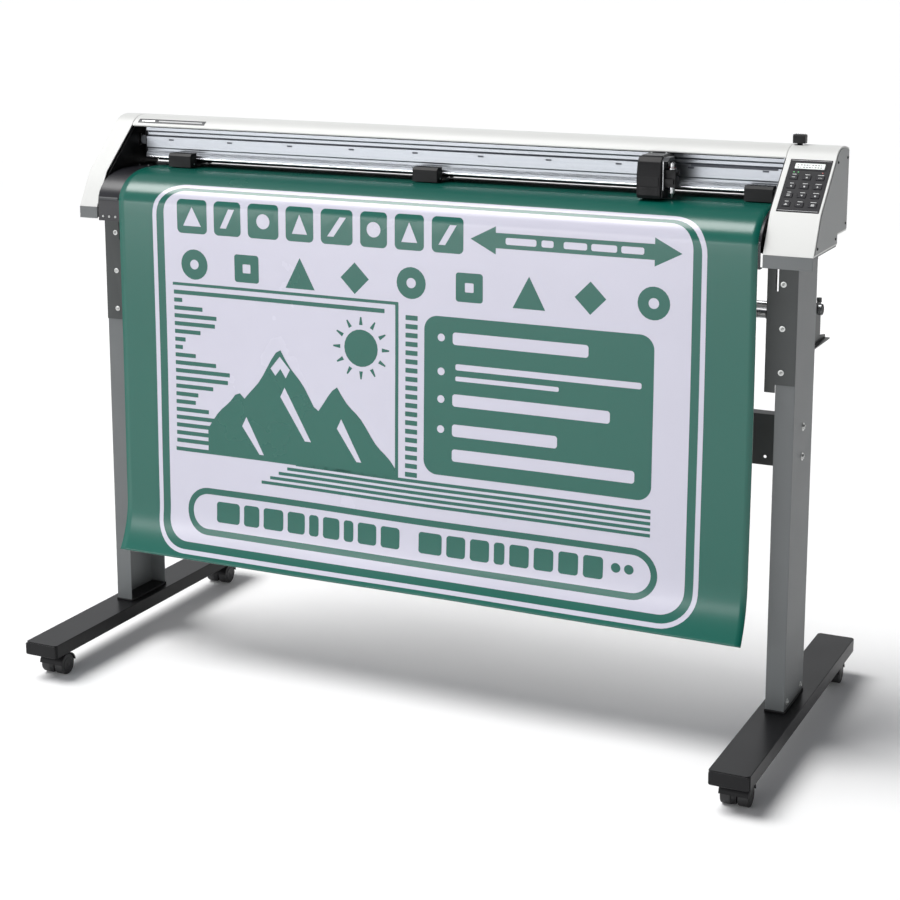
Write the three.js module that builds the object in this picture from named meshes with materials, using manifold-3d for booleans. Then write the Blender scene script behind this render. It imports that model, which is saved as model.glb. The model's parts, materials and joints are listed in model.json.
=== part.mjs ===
// A floor-standing vinyl cutter: a media feed and a cutting head on a caster stand.
// Millimetres. +X is the operator's right, +Y the back, +Z up.
// The origin is on the floor, under the middle of the stand.
import * as THREE from "three";
import { mergeVertices } from "three/addons/utils/BufferGeometryUtils.js";
import Module from "manifold-3d";

const wasm = await Module();
wasm.setup();

// Room between two pieces that touch.
const GAP = 0.3;

// Stand
const FOOT = { length: 736, width: 75, bottom: 51, top: 78.5, wall: 2.5, x: 721, openHalf: 270 };
const LEG = { x: 717.6, width: 36, front: -77, back: 53, top: 933.7, wall: 2 };
const BEAM = { bottom: 532, top: 628, front: -25, back: 5, wall: 2 };
const CASTER = { swivelY: 322, trail: 8, wheelRadius: 21, halfWidth: 27, webHalf: 5, sides: 24 };
const LEG_PLATE = { bottom: 697, top: 912, tailBottom: 682, reach: 20, flange: 60 };
const STOCK = { frontY: 76, rearY: 164, z: 793, radius: 8, journal: 5, plateX: 709, plateWall: 3 };

// Main unit
const UNIT_HALF_WIDTH = 770.5;
const LEFT_COVER_INNER = -727;
const RIGHT_COVER_INNER = 680;
const COVER_WALL = 2.5;
const COVER_BOTTOM = 936.8;
const COVER_BACK = 113;
const PANEL_LOW = [-77, 1007];
const PANEL_HIGH = [18, 1094];
const SIDE_WALL = 3;
const PLATEN = { top: 1010, wall: 2, back: 100, front: -14, reach: 102, drop: 60, skirt: 910 };
const RAIL = { front: 32, back: 72, bottom: 1026, top: 1096, left: -701, groove: 4 };

// Media feed
const SHEET = { halfWidth: 672, thick: 0.6, back: 104, curlTop: 329, curlRadius: 193, curlAngle: 34 };
const FEED = { y: 14, z: 997.8, radius: 12, shaft: 8, journal: 6, length: 36, pitch: 142, count: 10 };
const PINCH = { y: 14, z: 1019.3, radius: 8, halfLength: 20, halfWidth: 26.5, pivotY: 92, pivotZ: 1016 };
const PINCH_PLACES = { left: -600, middle: -35, right: 635 };
const LEVER = { x: 692, y: 84, z: 1046, radius: 5, knobY: 63, knobBottom: 1116, knobTop: 1132 };

// Cutting head
const CARRIAGE = { left: 419, right: 466, front: -48, back: 31.4, bottom: 1013, notch: 1047, top: 1090 };
const TOOL = { x: 479, y: -22, tip: 1014.6, radius: 5.5 };
const PULLEY = { y: 46, z: 1062, radius: 9.5, width: 10, leftX: -712, rightX: 736 };

// Control panel
const PANEL = { left: 690, right: 766, length: 122, wall: 2.4, proud: 0.8 };
const KEY = { width: 15, height: 9.5, pitchX: 24, pitchY: 21, columns: 3, rows: 4, firstRow: 18 };
const INLET = { x: 725, z: 985, width: 48, height: 28 };
const SWITCH = { x: 725, z: 1035, width: 14, height: 21, play: 1.1 };

const LOOKS = {
  white: [0xededeb, 0.45, 0],
  grey: [0x787d80, 0.5, 0.2],
  black: [0x1c1c1d, 0.45, 0],
  dark: [0x3c3f3f, 0.5, 0.3],
  alloy: [0xa4a8b0, 0.35, 0.9],
  steel: [0xb9bcbf, 0.3, 1],
  rubber: [0x202020, 0.8, 0],
  vinyl: [0x437567, 0.35, 0],
  key: [0x4a4c52, 0.6, 0],
};

const machine = new THREE.Group();

// ---- shapes ----

// The closed solid of a three.js geometry.
function solid(geometry) {
  const bare = geometry.index ? geometry.toNonIndexed() : geometry.clone();
  bare.deleteAttribute("normal");
  bare.deleteAttribute("uv");
  const merged = mergeVertices(bare, 1e-4);
  const triVerts = new Uint32Array(merged.index.array);
  return new wasm.Manifold(
    new wasm.Mesh({ numProp: 3, vertProperties: merged.attributes.position.array, triVerts }),
  );
}

// The three.js geometry of a closed solid.
function geometryOf(shape) {
  const mesh = shape.getMesh();
  const geometry = new THREE.BufferGeometry();
  const positions = new Float32Array(mesh.vertProperties);
  geometry.setAttribute("position", new THREE.BufferAttribute(positions, 3));
  geometry.setIndex(new THREE.BufferAttribute(new Uint32Array(mesh.triVerts), 1));
  geometry.computeVertexNormals();
  return geometry;
}

function add(name, shape, look, place = machine) {
  const [color, roughness, metalness] = LOOKS[look];
  const material = new THREE.MeshStandardMaterial({ color, roughness, metalness });
  const geometry = shape.isBufferGeometry ? shape : geometryOf(shape);
  const mesh = new THREE.Mesh(geometry, material);
  mesh.name = name;
  place.add(mesh);
}

function block(x0, x1, y0, y1, z0, z1) {
  const box = new THREE.BoxGeometry(x1 - x0, y1 - y0, z1 - z0);
  return solid(box.translate((x0 + x1) / 2, (y0 + y1) / 2, (z0 + z1) / 2));
}

function outline(points) {
  return new THREE.Shape(points.map(([a, b]) => new THREE.Vector2(a, b)));
}

function extruded(shape, depth) {
  return new THREE.ExtrudeGeometry(shape, { depth, bevelEnabled: false });
}

// A (Y, Z) outline drawn out from x0 to x1.
function alongX(points, x0, x1) {
  const turn = new THREE.Matrix4().makeBasis(
    new THREE.Vector3(0, 1, 0),
    new THREE.Vector3(0, 0, 1),
    new THREE.Vector3(1, 0, 0),
  );
  return solid(extruded(outline(points), x1 - x0).applyMatrix4(turn).translate(x0, 0, 0));
}

// An (X, Z) outline drawn out from y1 towards y0.
function alongY(points, y0, y1) {
  const turn = new THREE.Matrix4().makeBasis(
    new THREE.Vector3(1, 0, 0),
    new THREE.Vector3(0, 0, 1),
    new THREE.Vector3(0, -1, 0),
  );
  return solid(extruded(outline(points), y1 - y0).applyMatrix4(turn).translate(0, y1, 0));
}

// An (X, Y) outline drawn up from z0 to z1.
function alongZ(points, z0, z1) {
  return solid(extruded(outline(points), z1 - z0).translate(0, 0, z0));
}

// A round piece whose (radius, height) profile starts and ends on its axis.
function turned(profile, sides, phase = 0) {
  const points = profile.map(([radius, height]) => new THREE.Vector2(radius, height));
  return new THREE.LatheGeometry(points, sides, phase);
}

// A turned piece with its axis along X, whose profile's heights are X positions.
function turnedX(profile, y, z, sides, phase = 0) {
  return solid(turned(profile, sides, phase).rotateZ(-Math.PI / 2).translate(0, y, z));
}

// A turned piece with its axis along Z.
function turnedZ(profile, x, y, sides) {
  return solid(turned(profile, sides).rotateX(Math.PI / 2).translate(x, y, 0));
}

function rodX(radius, x0, x1, y, z, sides = 16, phase = 0) {
  return turnedX([[0, x0], [radius, x0], [radius, x1], [0, x1]], y, z, sides, phase);
}

function rodY(radius, x, y0, y1, z, sides = 16) {
  const rod = new THREE.CylinderGeometry(radius, radius, y1 - y0, sides);
  return solid(rod.translate(x, (y0 + y1) / 2, z));
}

function rodZ(radius, x, y, z0, z1, sides = 16) {
  return turnedZ([[0, z0], [radius, z0], [radius, z1], [0, z1]], x, y, sides);
}

function join(...shapes) {
  return shapes.reduce((whole, shape) => whole.add(shape));
}

function cut(shape, ...tools) {
  return tools.reduce((left, tool) => left.subtract(tool), shape);
}

function mirrored(shape) {
  return solid(geometryOf(shape.mirror([1, 0, 0])));
}

// An anticlockwise outline moved inwards by a distance.
function inset(points, distance) {
  const count = points.length;
  return points.map(([a, b], i) => {
    const [pa, pb] = points[(i + count - 1) % count];
    const [na, nb] = points[(i + 1) % count];
    const before = new THREE.Vector2(pb - b, a - pa).normalize();
    const after = new THREE.Vector2(b - nb, na - a).normalize();
    const middle = before.clone().add(after);
    middle.multiplyScalar(distance / (1 + before.dot(after)));
    return [a + middle.x, b + middle.y];
  });
}

// A strip of one thickness under a (Y, Z) path that runs from back to front.
function strip(path, thick, x0, x1) {
  const under = path.map(([y, z], i) => {
    const [by, bz] = path[Math.max(i - 1, 0)];
    const [ay, az] = path[Math.min(i + 1, path.length - 1)];
    const length = Math.hypot(ay - by, az - bz);
    return [y - ((az - bz) / length) * thick, z + ((ay - by) / length) * thick];
  });
  return alongX([...path, ...under.reverse()], x0, x1);
}

// ---- stand ----

function foot(side) {
  const x = side * FOOT.x;
  const half = FOOT.width / 2;
  const end = FOOT.length / 2;
  const nib = 5;
  const plan = [
    [x - half, nib - end], [x + nib - half, -end], [x + half - nib, -end], [x + half, nib - end],
    [x + half, end - nib], [x + half - nib, end], [x + nib - half, end], [x - half, end - nib],
  ];
  const wall = FOOT.wall;
  const hollow = block(
    x - half + wall, x + half - wall, wall - end, end - wall, FOOT.bottom + wall, FOOT.top - wall,
  );
  const mouth = block(
    x - half + wall, x + half - wall, -FOOT.openHalf, FOOT.openHalf, FOOT.bottom - 1, FOOT.top - wall,
  );
  return cut(alongZ(plan, FOOT.bottom, FOOT.top), hollow, mouth);
}

// A channel that is open towards the middle of the machine, with a sole plate on the foot.
function rightLeg() {
  const inner = LEG.x - LEG.width / 2;
  const outer = LEG.x + LEG.width / 2;
  const bottom = FOOT.top + GAP;
  const soleThick = 3;
  const channel = cut(
    block(inner, outer, LEG.front, LEG.back, bottom, LEG.top),
    block(inner - 1, outer - LEG.wall, LEG.front + LEG.wall, LEG.back - LEG.wall, 0, LEG.top + 1),
  );
  const sole = block(inner, outer - 1, LEG.front + 1, LEG.back - 1, bottom, bottom + soleThick);
  return join(channel, sole);
}

// The dark plate on the leg's front, with a tail and a flange on its inner edge.
function rightLegPlate() {
  const inner = LEG.x - LEG.width / 2;
  const outer = LEG.x + LEG.width / 2;
  const back = LEG.front - GAP;
  const front = back - LEG.wall;
  const edge = inner - LEG_PLATE.reach;
  const face = [
    [edge, LEG_PLATE.tailBottom], [inner, LEG_PLATE.tailBottom], [inner, LEG_PLATE.bottom],
    [outer, LEG_PLATE.bottom], [outer, LEG_PLATE.top], [edge, LEG_PLATE.top],
  ];
  const slot = block(inner - 4, inner + 1, front - 1, back + 1, LEG_PLATE.top - 45, LEG_PLATE.top + 1);
  const flange = block(
    edge, edge + LEG.wall, front, front + LEG_PLATE.flange, LEG_PLATE.tailBottom, LEG_PLATE.top,
  );
  return join(cut(alongY(face, front, back), slot), flange);
}

// A channel between the legs, open to the back, with a row of cable holes.
function crossBeam() {
  const end = LEG.x + LEG.width / 2 - LEG.wall - GAP;
  const wall = BEAM.wall;
  const channel = cut(
    block(-end, end, BEAM.front, BEAM.back, BEAM.bottom, BEAM.top),
    block(-end - 1, end + 1, BEAM.front + wall, BEAM.back + 1, BEAM.bottom + wall, BEAM.top - wall),
  );
  const holeX = [-670, -640, 640, 670];
  const holes = holeX.map((x) => rodY(3, x, BEAM.front - 1, BEAM.front + wall + 1, 548, 8));
  return cut(channel, ...holes);
}

// The bracket behind a leg that carries one end of both stock shafts.
function rightStockBracket() {
  const x0 = STOCK.plateX;
  const x1 = x0 + STOCK.plateWall;
  const root = LEG.back + GAP;
  const arm = [[root, 727], [219, 727], [219, 735], [180, 741], [180, 803], [176, 807], [root, 807]];
  const hole = STOCK.journal + 0.6;
  const plate = cut(
    alongX(arm, x0, x1),
    rodX(hole, x0 - 1, x1 + 1, STOCK.frontY, STOCK.z),
    rodX(hole, x0 - 1, x1 + 1, STOCK.rearY, STOCK.z),
  );
  const base = block(701, 734, root, root + 2.5, 727, 807);
  const rim = block(x0, x1 + 9, root, 219, 727, 729.5);
  const knob = rodZ(5, (x0 + x1) / 2, 171, 806, 814, 12);
  return join(plate, base, rim, knob);
}

function stockShaft(y) {
  const body = STOCK.plateX - 1;
  const end = STOCK.plateX + STOCK.plateWall + 1;
  const cap = end + 6;
  const half = [
    [STOCK.radius, 0], [STOCK.radius, body], [STOCK.journal, body], [STOCK.journal, end],
    [11, end], [11, cap], [0, cap],
  ];
  const other = half.slice(1).reverse().map(([radius, x]) => [radius, -x]);
  return turnedX([...other, ...half.slice(1)], y, STOCK.z, 16);
}

// The half-angle that puts a flat of the wheel on the floor, and the height that it gives the axle.
const WHEEL_PHASE = Math.PI / CASTER.sides;
const AXLE_Z = CASTER.wheelRadius * Math.cos(WHEEL_PHASE);

// Two wheels on one axle.
function casterWheel(x, y) {
  const r = CASTER.wheelRadius;
  const inside = CASTER.webHalf + 1;
  const outside = CASTER.halfWidth - 1.5;
  const half = [[3.5, inside], [r - 1, inside], [r, inside + 1], [r, outside - 1], [r - 1, outside]];
  const right = [...half, [0, outside]];
  const left = right.slice().reverse().map(([radius, along]) => [radius, -along]);
  const profile = [...left, ...right].map(([radius, along]) => [radius, x + along]);
  return turnedX(profile, y, AXLE_Z, CASTER.sides, WHEEL_PHASE);
}

// A hood over two wheels, with the web between them and the swivel above.
function casterFork(x, y, end) {
  const axleY = y - end * CASTER.trail;
  const half = CASTER.halfWidth;
  const outer = CASTER.wheelRadius + 3.6;
  const inner = CASTER.wheelRadius + 1.2;
  const hood = cut(
    rodX(outer, x - half, x + half, axleY, AXLE_Z, 32),
    rodX(inner, x - half - 1, x + half + 1, axleY, AXLE_Z, 32),
    block(x - half - 1, x + half + 1, axleY - 40, axleY + 40, -20, AXLE_Z + 4),
  );
  const web = rodX(inner, x - CASTER.webHalf, x + CASTER.webHalf, axleY, AXLE_Z, 32);
  const chin = block(x - half, x + half, axleY - 40, axleY + 40, -20, AXLE_Z - 12);
  const bore = rodX(4.2, x - half, x + half, axleY, AXLE_Z, 16);
  const swivel = rodZ(13, x, y, AXLE_Z + 22.5, FOOT.bottom - GAP, 20);
  return join(hood, cut(web, chin, bore), swivel);
}

function addStand() {
  const sides = [["right", 1], ["left", -1]];
  for (const [side, sign] of sides) {
    const turn = (shape) => (sign > 0 ? shape : mirrored(shape));
    add(`foot_${side}`, foot(sign), "black");
    add(`leg_${side}`, turn(rightLeg()), "grey");
    add(`leg_bracket_${side}`, turn(rightLegPlate()), "dark");
    add(`stock_bracket_${side}`, turn(rightStockBracket()), "dark");
    for (const [end, way] of [["front", -1], ["rear", 1]]) {
      const x = sign * FOOT.x;
      const y = way * CASTER.swivelY;
      add(`caster_fork_${end}_${side}`, casterFork(x, y, way), "black");
      add(`caster_wheel_${end}_${side}`, casterWheel(x, y - way * CASTER.trail), "rubber");
    }
  }
  add("cross_beam", crossBeam(), "dark");
  add("stock_shaft_front", stockShaft(STOCK.frontY), "alloy");
  add("stock_shaft_rear", stockShaft(STOCK.rearY), "alloy");
}

// ---- main unit ----

// The cover's crown, from above the panel over the ridge to the back.
function crown() {
  const curve = new THREE.CubicBezierCurve(
    new THREE.Vector2(...PANEL_HIGH),
    new THREE.Vector2(30, 1113),
    new THREE.Vector2(62, 1121),
    new THREE.Vector2(COVER_BACK, 1106),
  );
  return curve.getPoints(8).map((p) => [p.x, p.y]);
}

// The end covers' side outline, anticlockwise when seen from the right.
function coverOutline() {
  const front = [[-116, COVER_BOTTOM], [46.5, COVER_BOTTOM], [46.5, 955], [COVER_BACK, 955]];
  return [...front, ...crown().reverse(), PANEL_LOW];
}

// An end cover is a shell, open on the side that faces the machine.
function endCover(inner, outer) {
  const low = Math.min(inner, outer);
  const high = Math.max(inner, outer);
  const hollowLow = outer < inner ? low + COVER_WALL : low - 1;
  const hollowHigh = outer < inner ? high + 1 : high - COVER_WALL;
  const outside = coverOutline();
  return cut(alongX(outside, low, high), alongX(inset(outside, COVER_WALL), hollowLow, hollowHigh));
}

const SLOPE = Math.atan2(PANEL_HIGH[1] - PANEL_LOW[1], PANEL_HIGH[0] - PANEL_LOW[0]);
const PANEL_MIDDLE = [
  (PANEL.left + PANEL.right) / 2,
  (PANEL_LOW[0] + PANEL_HIGH[0]) / 2,
  (PANEL_LOW[1] + PANEL_HIGH[1]) / 2,
];

// A box in the panel's own frame: X across, Y up the slope, Z out of it.
function panelBlock(x0, x1, y0, y1, z0, z1) {
  const turn = new THREE.Matrix4().makeRotationX(SLOPE).setPosition(...PANEL_MIDDLE);
  const box = new THREE.BoxGeometry(x1 - x0, y1 - y0, z1 - z0);
  box.translate((x0 + x1) / 2, (y0 + y1) / 2, (z0 + z1) / 2);
  return solid(box.applyMatrix4(turn));
}

function rightCover() {
  const halfX = (PANEL.right - PANEL.left) / 2 + GAP;
  const halfY = PANEL.length / 2 + GAP;
  return cut(
    endCover(RIGHT_COVER_INNER, UNIT_HALF_WIDTH),
    panelBlock(-halfX, halfX, -halfY, halfY, -4, 4),
    block(LEVER.x - 7, LEVER.x + 7, 53, 101, 1090, 1130),
    hatch(INLET, 30 / INLET.width),
    hatch(SWITCH, 1),
  );
}

// The hole in the back wall for the inlet or the switch.
function hatch(place, share) {
  const half = (place.width / 2) * share + GAP;
  const tall = place.height / 2 + GAP;
  return block(place.x - half, place.x + half, 105, 120, place.z - tall, place.z + tall);
}

// The long cover over the rail, with a lip in front and a wall behind.
function topCover() {
  const outside = [[COVER_BACK, 1030], ...crown().reverse()];
  const inside = inset([...outside, [18, 1030]], COVER_WALL).slice(1, -2);
  const lip = [PANEL_HIGH[0] + 1.5, PANEL_HIGH[1] - COVER_WALL];
  const wallFoot = [COVER_BACK - COVER_WALL, 1030];
  const section = [...outside, lip, ...inside.reverse(), wallFoot];
  return alongX(section, LEFT_COVER_INNER + GAP, RIGHT_COVER_INNER - GAP);
}

function baseFrame() {
  const end = UNIT_HALF_WIDTH - 0.5;
  const left = LEFT_COVER_INNER + SIDE_WALL + 1;
  const right = RIGHT_COVER_INNER - SIDE_WALL - 1;
  const lip = [[-116, 913], [-79.6, 930.5], [-79.6, 936.5], [-116, 936.5]];
  return join(
    block(-end, end, -85, 43.5, 934, 936.5),
    alongX(lip, -end, LEFT_COVER_INNER),
    alongX(lip, RIGHT_COVER_INNER, end),
    block(left, right, -60, -57.5, 935, 998),
    block(left, right, 41, 43.5, 935, PLATEN.top - PLATEN.wall - GAP),
  );
}

function sidePlate(x0) {
  const face = [
    [-108, 937], [40, 937], [40, 958], [106, 958], [106, 1099],
    [52, 1106], [24, 1092], [-72, 1004],
  ];
  const x1 = x0 + SIDE_WALL;
  return cut(
    alongX(face, x0, x1),
    rodX(FEED.journal + 1, x0 - 1, x1 + 1, FEED.y, FEED.z, 16),
    rodX(LEVER.radius + 1, x0 - 1, x1 + 1, LEVER.y, LEVER.z, 16),
    block(x0 - 1, x1 + 1, PULLEY.y - 7, PULLEY.y + 7, PULLEY.z - 13, PULLEY.z + 13),
  );
}

// The front of the media path: from the flat, round a quarter ellipse to the vertical.
function frontCurve(lift, steps) {
  const curve = new THREE.EllipseCurve(
    PLATEN.front, PLATEN.top - PLATEN.drop,
    PLATEN.reach + lift, PLATEN.drop + lift,
    Math.PI / 2, Math.PI, false, 0,
  );
  return curve.getPoints(steps).map((p) => [p.x, p.y]);
}

// The bed that the sheet runs over, with a curved apron in front and slots for the feed rollers.
function platen() {
  const left = LEFT_COVER_INNER + SIDE_WALL + GAP + 0.5;
  const right = RIGHT_COVER_INNER - SIDE_WALL - GAP - 0.5;
  const rear = new THREE.EllipseCurve(PLATEN.back, PLATEN.top - 14, 12, 14, 0, Math.PI / 2, false, 0);
  const front = PLATEN.front - PLATEN.reach;
  const path = [
    ...rear.getPoints(3).map((p) => [p.x, p.y]),
    ...frontCurve(0, 10),
    [front, PLATEN.skirt],
  ];
  const hem = block(left, right, front, front + 14, PLATEN.skirt, PLATEN.skirt + PLATEN.wall);
  const bed = join(strip(path, PLATEN.wall, left, right), hem);
  const slots = feedPlaces().map((x) => block(x - 21, x + 21, 4, 24, PLATEN.top - 6, PLATEN.top + 1));
  return cut(bed, ...slots);
}

function rail() {
  const { front, back, bottom, top, groove } = RAIL;
  const foot = front - 3;
  const slot = front + 2.5;
  const section = [
    [foot, bottom], [back, bottom], [back, top], [front + 4, top], [front, top - 4], [front, 1082],
    [front + groove, 1080], [front + groove, 1073], [front, 1071], [front, 1047], [slot, 1046],
    [slot, 1040], [front, 1039], [front, 1037], [foot, 1035],
  ];
  return alongX(section, RAIL.left, RIGHT_COVER_INNER - SIDE_WALL - 0.8);
}

function panelPlate() {
  const half = (PANEL.right - PANEL.left) / 2;
  const top = PANEL.proud;
  const plate = panelBlock(-half, half, -PANEL.length / 2, PANEL.length / 2, top - PANEL.wall, top);
  const holes = keyPlaces().map(([x, y]) => {
    const across = KEY.width / 2 + 0.4;
    const tall = KEY.height / 2 + 0.4;
    return panelBlock(x - across, x + across, y - tall, y + tall, -5, 5);
  });
  return cut(plate, ...holes);
}

function keyPlaces() {
  const places = [];
  for (let row = 0; row < KEY.rows; row += 1) {
    for (let column = 0; column < KEY.columns; column += 1) {
      places.push([(column - 1) * KEY.pitchX, KEY.firstRow - row * KEY.pitchY]);
    }
  }
  return places;
}

function addKeys() {
  keyPlaces().forEach(([x, y], i) => {
    const across = KEY.width / 2;
    const tall = KEY.height / 2;
    const key = panelBlock(x - across, x + across, y - tall, y + tall, -2, PANEL.proud + 1.2);
    add(`key_${String(i + 1).padStart(2, "0")}`, key, "key");
  });
}

// A socket with three flat pins, in a flange on the back wall.
function powerInlet() {
  const { x, z, width, height } = INLET;
  const halfX = width / 2;
  const back = COVER_BACK + GAP;
  const shell = join(
    block(x - halfX, x + halfX, back, back + 2, z - height / 2 - 2, z + height / 2 + 2),
    block(x - 15, x + 15, 90, back + 1, z - height / 2, z + height / 2),
  );
  const pins = [[-7, -2], [0, 3], [7, -2]].map(([px, pz]) => block(
    x + px - 1, x + px + 1, 91, 111, z + pz - 2, z + pz + 2,
  ));
  return join(cut(shell, block(x - 12.2, x + 12.2, 93, back + 3, z - 8.2, z + 8.2)), ...pins);
}

// A rocker with a shallow V face, turning about its middle.
function rocker() {
  const z = SWITCH.z;
  const half = SWITCH.height / 2 - SWITCH.play;
  const face = [
    [107, z - 8], [COVER_BACK + 1.5, z - half], [COVER_BACK + 0.5, z], [COVER_BACK + 3.5, z + half],
    [107, z + 8],
  ];
  const across = SWITCH.width / 2 - 0.5;
  return alongX(face, SWITCH.x - across, SWITCH.x + across);
}

function sheet() {
  const flat = PLATEN.top + GAP + SHEET.thick;
  const lift = flat - PLATEN.top;
  const front = PLATEN.front - PLATEN.reach - lift;
  const curl = new THREE.EllipseCurve(
    front - SHEET.curlRadius, SHEET.curlTop, SHEET.curlRadius, SHEET.curlRadius,
    0, -THREE.MathUtils.degToRad(SHEET.curlAngle), true, 0,
  );
  const path = [
    [SHEET.back, flat],
    ...frontCurve(lift, 12),
    ...curl.getPoints(8).map((p) => [p.x, p.y]),
  ];
  return strip(path, SHEET.thick, -SHEET.halfWidth, SHEET.halfWidth);
}

function addMainUnit() {
  add("base_frame", baseFrame(), "grey");
  add("platen", platen(), "dark");
  add("side_plate_left", sidePlate(LEFT_COVER_INNER + 0.5), "black");
  add("side_plate_right", sidePlate(RIGHT_COVER_INNER - SIDE_WALL - 0.5), "black");
  add("left_cover", endCover(LEFT_COVER_INNER, -UNIT_HALF_WIDTH), "white");
  add("right_cover", rightCover(), "white");
  add("top_cover", topCover(), "white");
  add("carriage_rail", rail(), "alloy");
  add("control_panel", panelPlate(), "black");
  add("power_inlet", powerInlet(), "black");
  add("power_switch", rocker(), "black");
  add("vinyl_sheet", sheet(), "vinyl");
  addKeys();
}

// ---- media feed ----

function feedPlaces() {
  const first = -((FEED.count - 1) / 2) * FEED.pitch;
  return Array.from({ length: FEED.count }, (_, i) => first + i * FEED.pitch);
}

// The drive shaft, with a gritted roller at every place.
function feedShaft() {
  const left = LEFT_COVER_INNER + 6;
  const right = RIGHT_COVER_INNER - 6;
  const profile = [[0, left - 12], [FEED.journal, left - 12], [FEED.journal, left], [FEED.shaft, left]];
  for (const x of feedPlaces()) {
    const x0 = x - FEED.length / 2;
    const x1 = x + FEED.length / 2;
    profile.push([FEED.shaft, x0], [FEED.radius, x0], [FEED.radius, x1], [FEED.shaft, x1]);
  }
  profile.push([FEED.shaft, right], [FEED.journal, right]);
  profile.push([FEED.journal, right + 14], [0, right + 14]);
  return turnedX(profile, FEED.y, FEED.z, 16);
}

// The block that slides along the rail and carries a pinch arm's pivot.
function pinchHolder(x) {
  const half = 18;
  const body = [[60, 1021], [100, 1021], [100, 1038], [73, 1038], [73, 1025.6], [60, 1025.6]];
  const earIn = PINCH.pivotY - 6;
  const ear = [[earIn, 1022], [earIn, 1012.5], [98, 1012.5], [98, 1022]];
  const bore = rodX(2.9, x - 30, x + 30, PINCH.pivotY, PINCH.pivotZ, 12);
  const ears = [x - half, x + half - 4].map((x0) => cut(alongX(ear, x0, x0 + 4), bore));
  return join(alongX(body, x - half, x + half), ...ears);
}

// The arm under the rail, with a hood over the pinch roller at its front end.
function pinchArm(x) {
  const half = PINCH.halfWidth;
  const hood = [[1, 1013], [1, 1036], [6, 1041], [25, 1041], [25, 1013]];
  const pocketHalf = PINCH.halfLength + 0.8;
  const pocketRadius = PINCH.radius + 1.5;
  const head = cut(
    alongX(hood, x - half, x + half),
    rodX(pocketRadius, x - pocketHalf, x + pocketHalf, PINCH.y, PINCH.z, 16),
    block(
      x - pocketHalf, x + pocketHalf, PINCH.y - pocketRadius, PINCH.y + pocketRadius,
      1000, PINCH.z,
    ),
    rodX(3.2, x - half + 1.5, x + half - 1.5, PINCH.y, PINCH.z, 12),
  );
  const bar = block(x - 12, x + 12, 24.5, PINCH.pivotY, 1013.5, 1018.5);
  const hub = rodX(2.5, x - 17.5, x + 17.5, PINCH.pivotY, PINCH.pivotZ, 12);
  return join(head, bar, hub);
}

function pinchRoller(x) {
  const { halfLength, radius } = PINCH;
  const tip = halfLength + 4.5;
  const pin = 2.6;
  const profile = [
    [0, x - tip], [pin, x - tip], [pin, x - halfLength], [radius, x - halfLength],
    [radius, x + halfLength], [pin, x + halfLength], [pin, x + tip], [0, x + tip],
  ];
  return turnedX(profile, PINCH.y, PINCH.z, 16);
}

// The cam shaft behind the rail, with the hand lever on its right end.
function setLever() {
  const arm = [
    [LEVER.y - 6, LEVER.z - 5], [LEVER.y + 6, LEVER.z - 5], [LEVER.y + 6, LEVER.z + 8],
    [LEVER.knobY + 5, LEVER.knobBottom + 1], [LEVER.knobY - 5, LEVER.knobBottom + 1],
    [LEVER.y - 6, LEVER.z + 8],
  ];
  const knob = [
    [LEVER.knobY - 7, LEVER.knobBottom], [LEVER.knobY + 7, LEVER.knobBottom],
    [LEVER.knobY + 8, LEVER.knobTop - 3], [LEVER.knobY + 5, LEVER.knobTop],
    [LEVER.knobY - 6, LEVER.knobTop], [LEVER.knobY - 8, LEVER.knobTop - 3],
  ];
  return join(
    rodX(LEVER.radius, LEFT_COVER_INNER - 6, LEVER.x, LEVER.y, LEVER.z, 12),
    alongX(arm, LEVER.x - 4, LEVER.x + 4),
    alongX(knob, LEVER.x - 11.5, LEVER.x + 11.5),
  );
}

function addFeed() {
  add("feed_shaft", feedShaft(), "steel");
  add("set_lever", setLever(), "black");
  for (const [place, x] of Object.entries(PINCH_PLACES)) {
    add(`pinch_holder_${place}`, pinchHolder(x), "black");
    add(`pinch_arm_${place}`, pinchArm(x), "black");
    add(`pinch_roller_${place}`, pinchRoller(x), "rubber");
  }
}

// ---- cutting head ----

function carriage() {
  const { front, back, bottom, notch, top } = CARRIAGE;
  const side = [
    [front + 4, bottom], [-4, bottom], [-4, notch], [back, notch], [back, top],
    [front + 14, top], [front + 4, top - 10], [front, notch + 8], [front, bottom + 6],
  ];
  return alongX(side, CARRIAGE.left, CARRIAGE.right);
}

// The slide that lifts and presses the tool, on the carriage's right side.
function toolPlunger() {
  const x0 = CARRIAGE.right + 0.5;
  const body = block(x0, TOOL.x + 10, TOOL.y - 10, TOOL.y + 10, 1034, 1066);
  const grip = block(x0, TOOL.x + 7, TOOL.y - 14, TOOL.y - 9, 1040, 1050);
  const bore = rodZ(TOOL.radius + GAP, TOOL.x, TOOL.y, 1030, 1070, 16);
  return cut(join(body, grip), bore);
}

function bladeHolder() {
  const r = TOOL.radius;
  const profile = [
    [0, TOOL.tip], [1.6, TOOL.tip + 0.4], [3.2, TOOL.tip + 7], [r, TOOL.tip + 8], [r, 1066.4],
    [8, 1066.4], [8, 1069.5], [r - 0.5, 1069.5], [r - 0.5, 1078], [3.4, 1080], [0, 1080],
  ];
  return turnedZ(profile, TOOL.x, TOOL.y, 16);
}

function pulley(x) {
  const y0 = PULLEY.y - PULLEY.width / 2;
  const y1 = PULLEY.y + PULLEY.width / 2;
  const rim = PULLEY.radius;
  return join(
    rodY(rim - 1.5, x, y0, y1, PULLEY.z, 20),
    rodY(rim, x, y0, y0 + 1.2, PULLEY.z, 20),
    rodY(rim, x, y1 - 1.2, y1, PULLEY.z, 20),
  );
}

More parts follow.
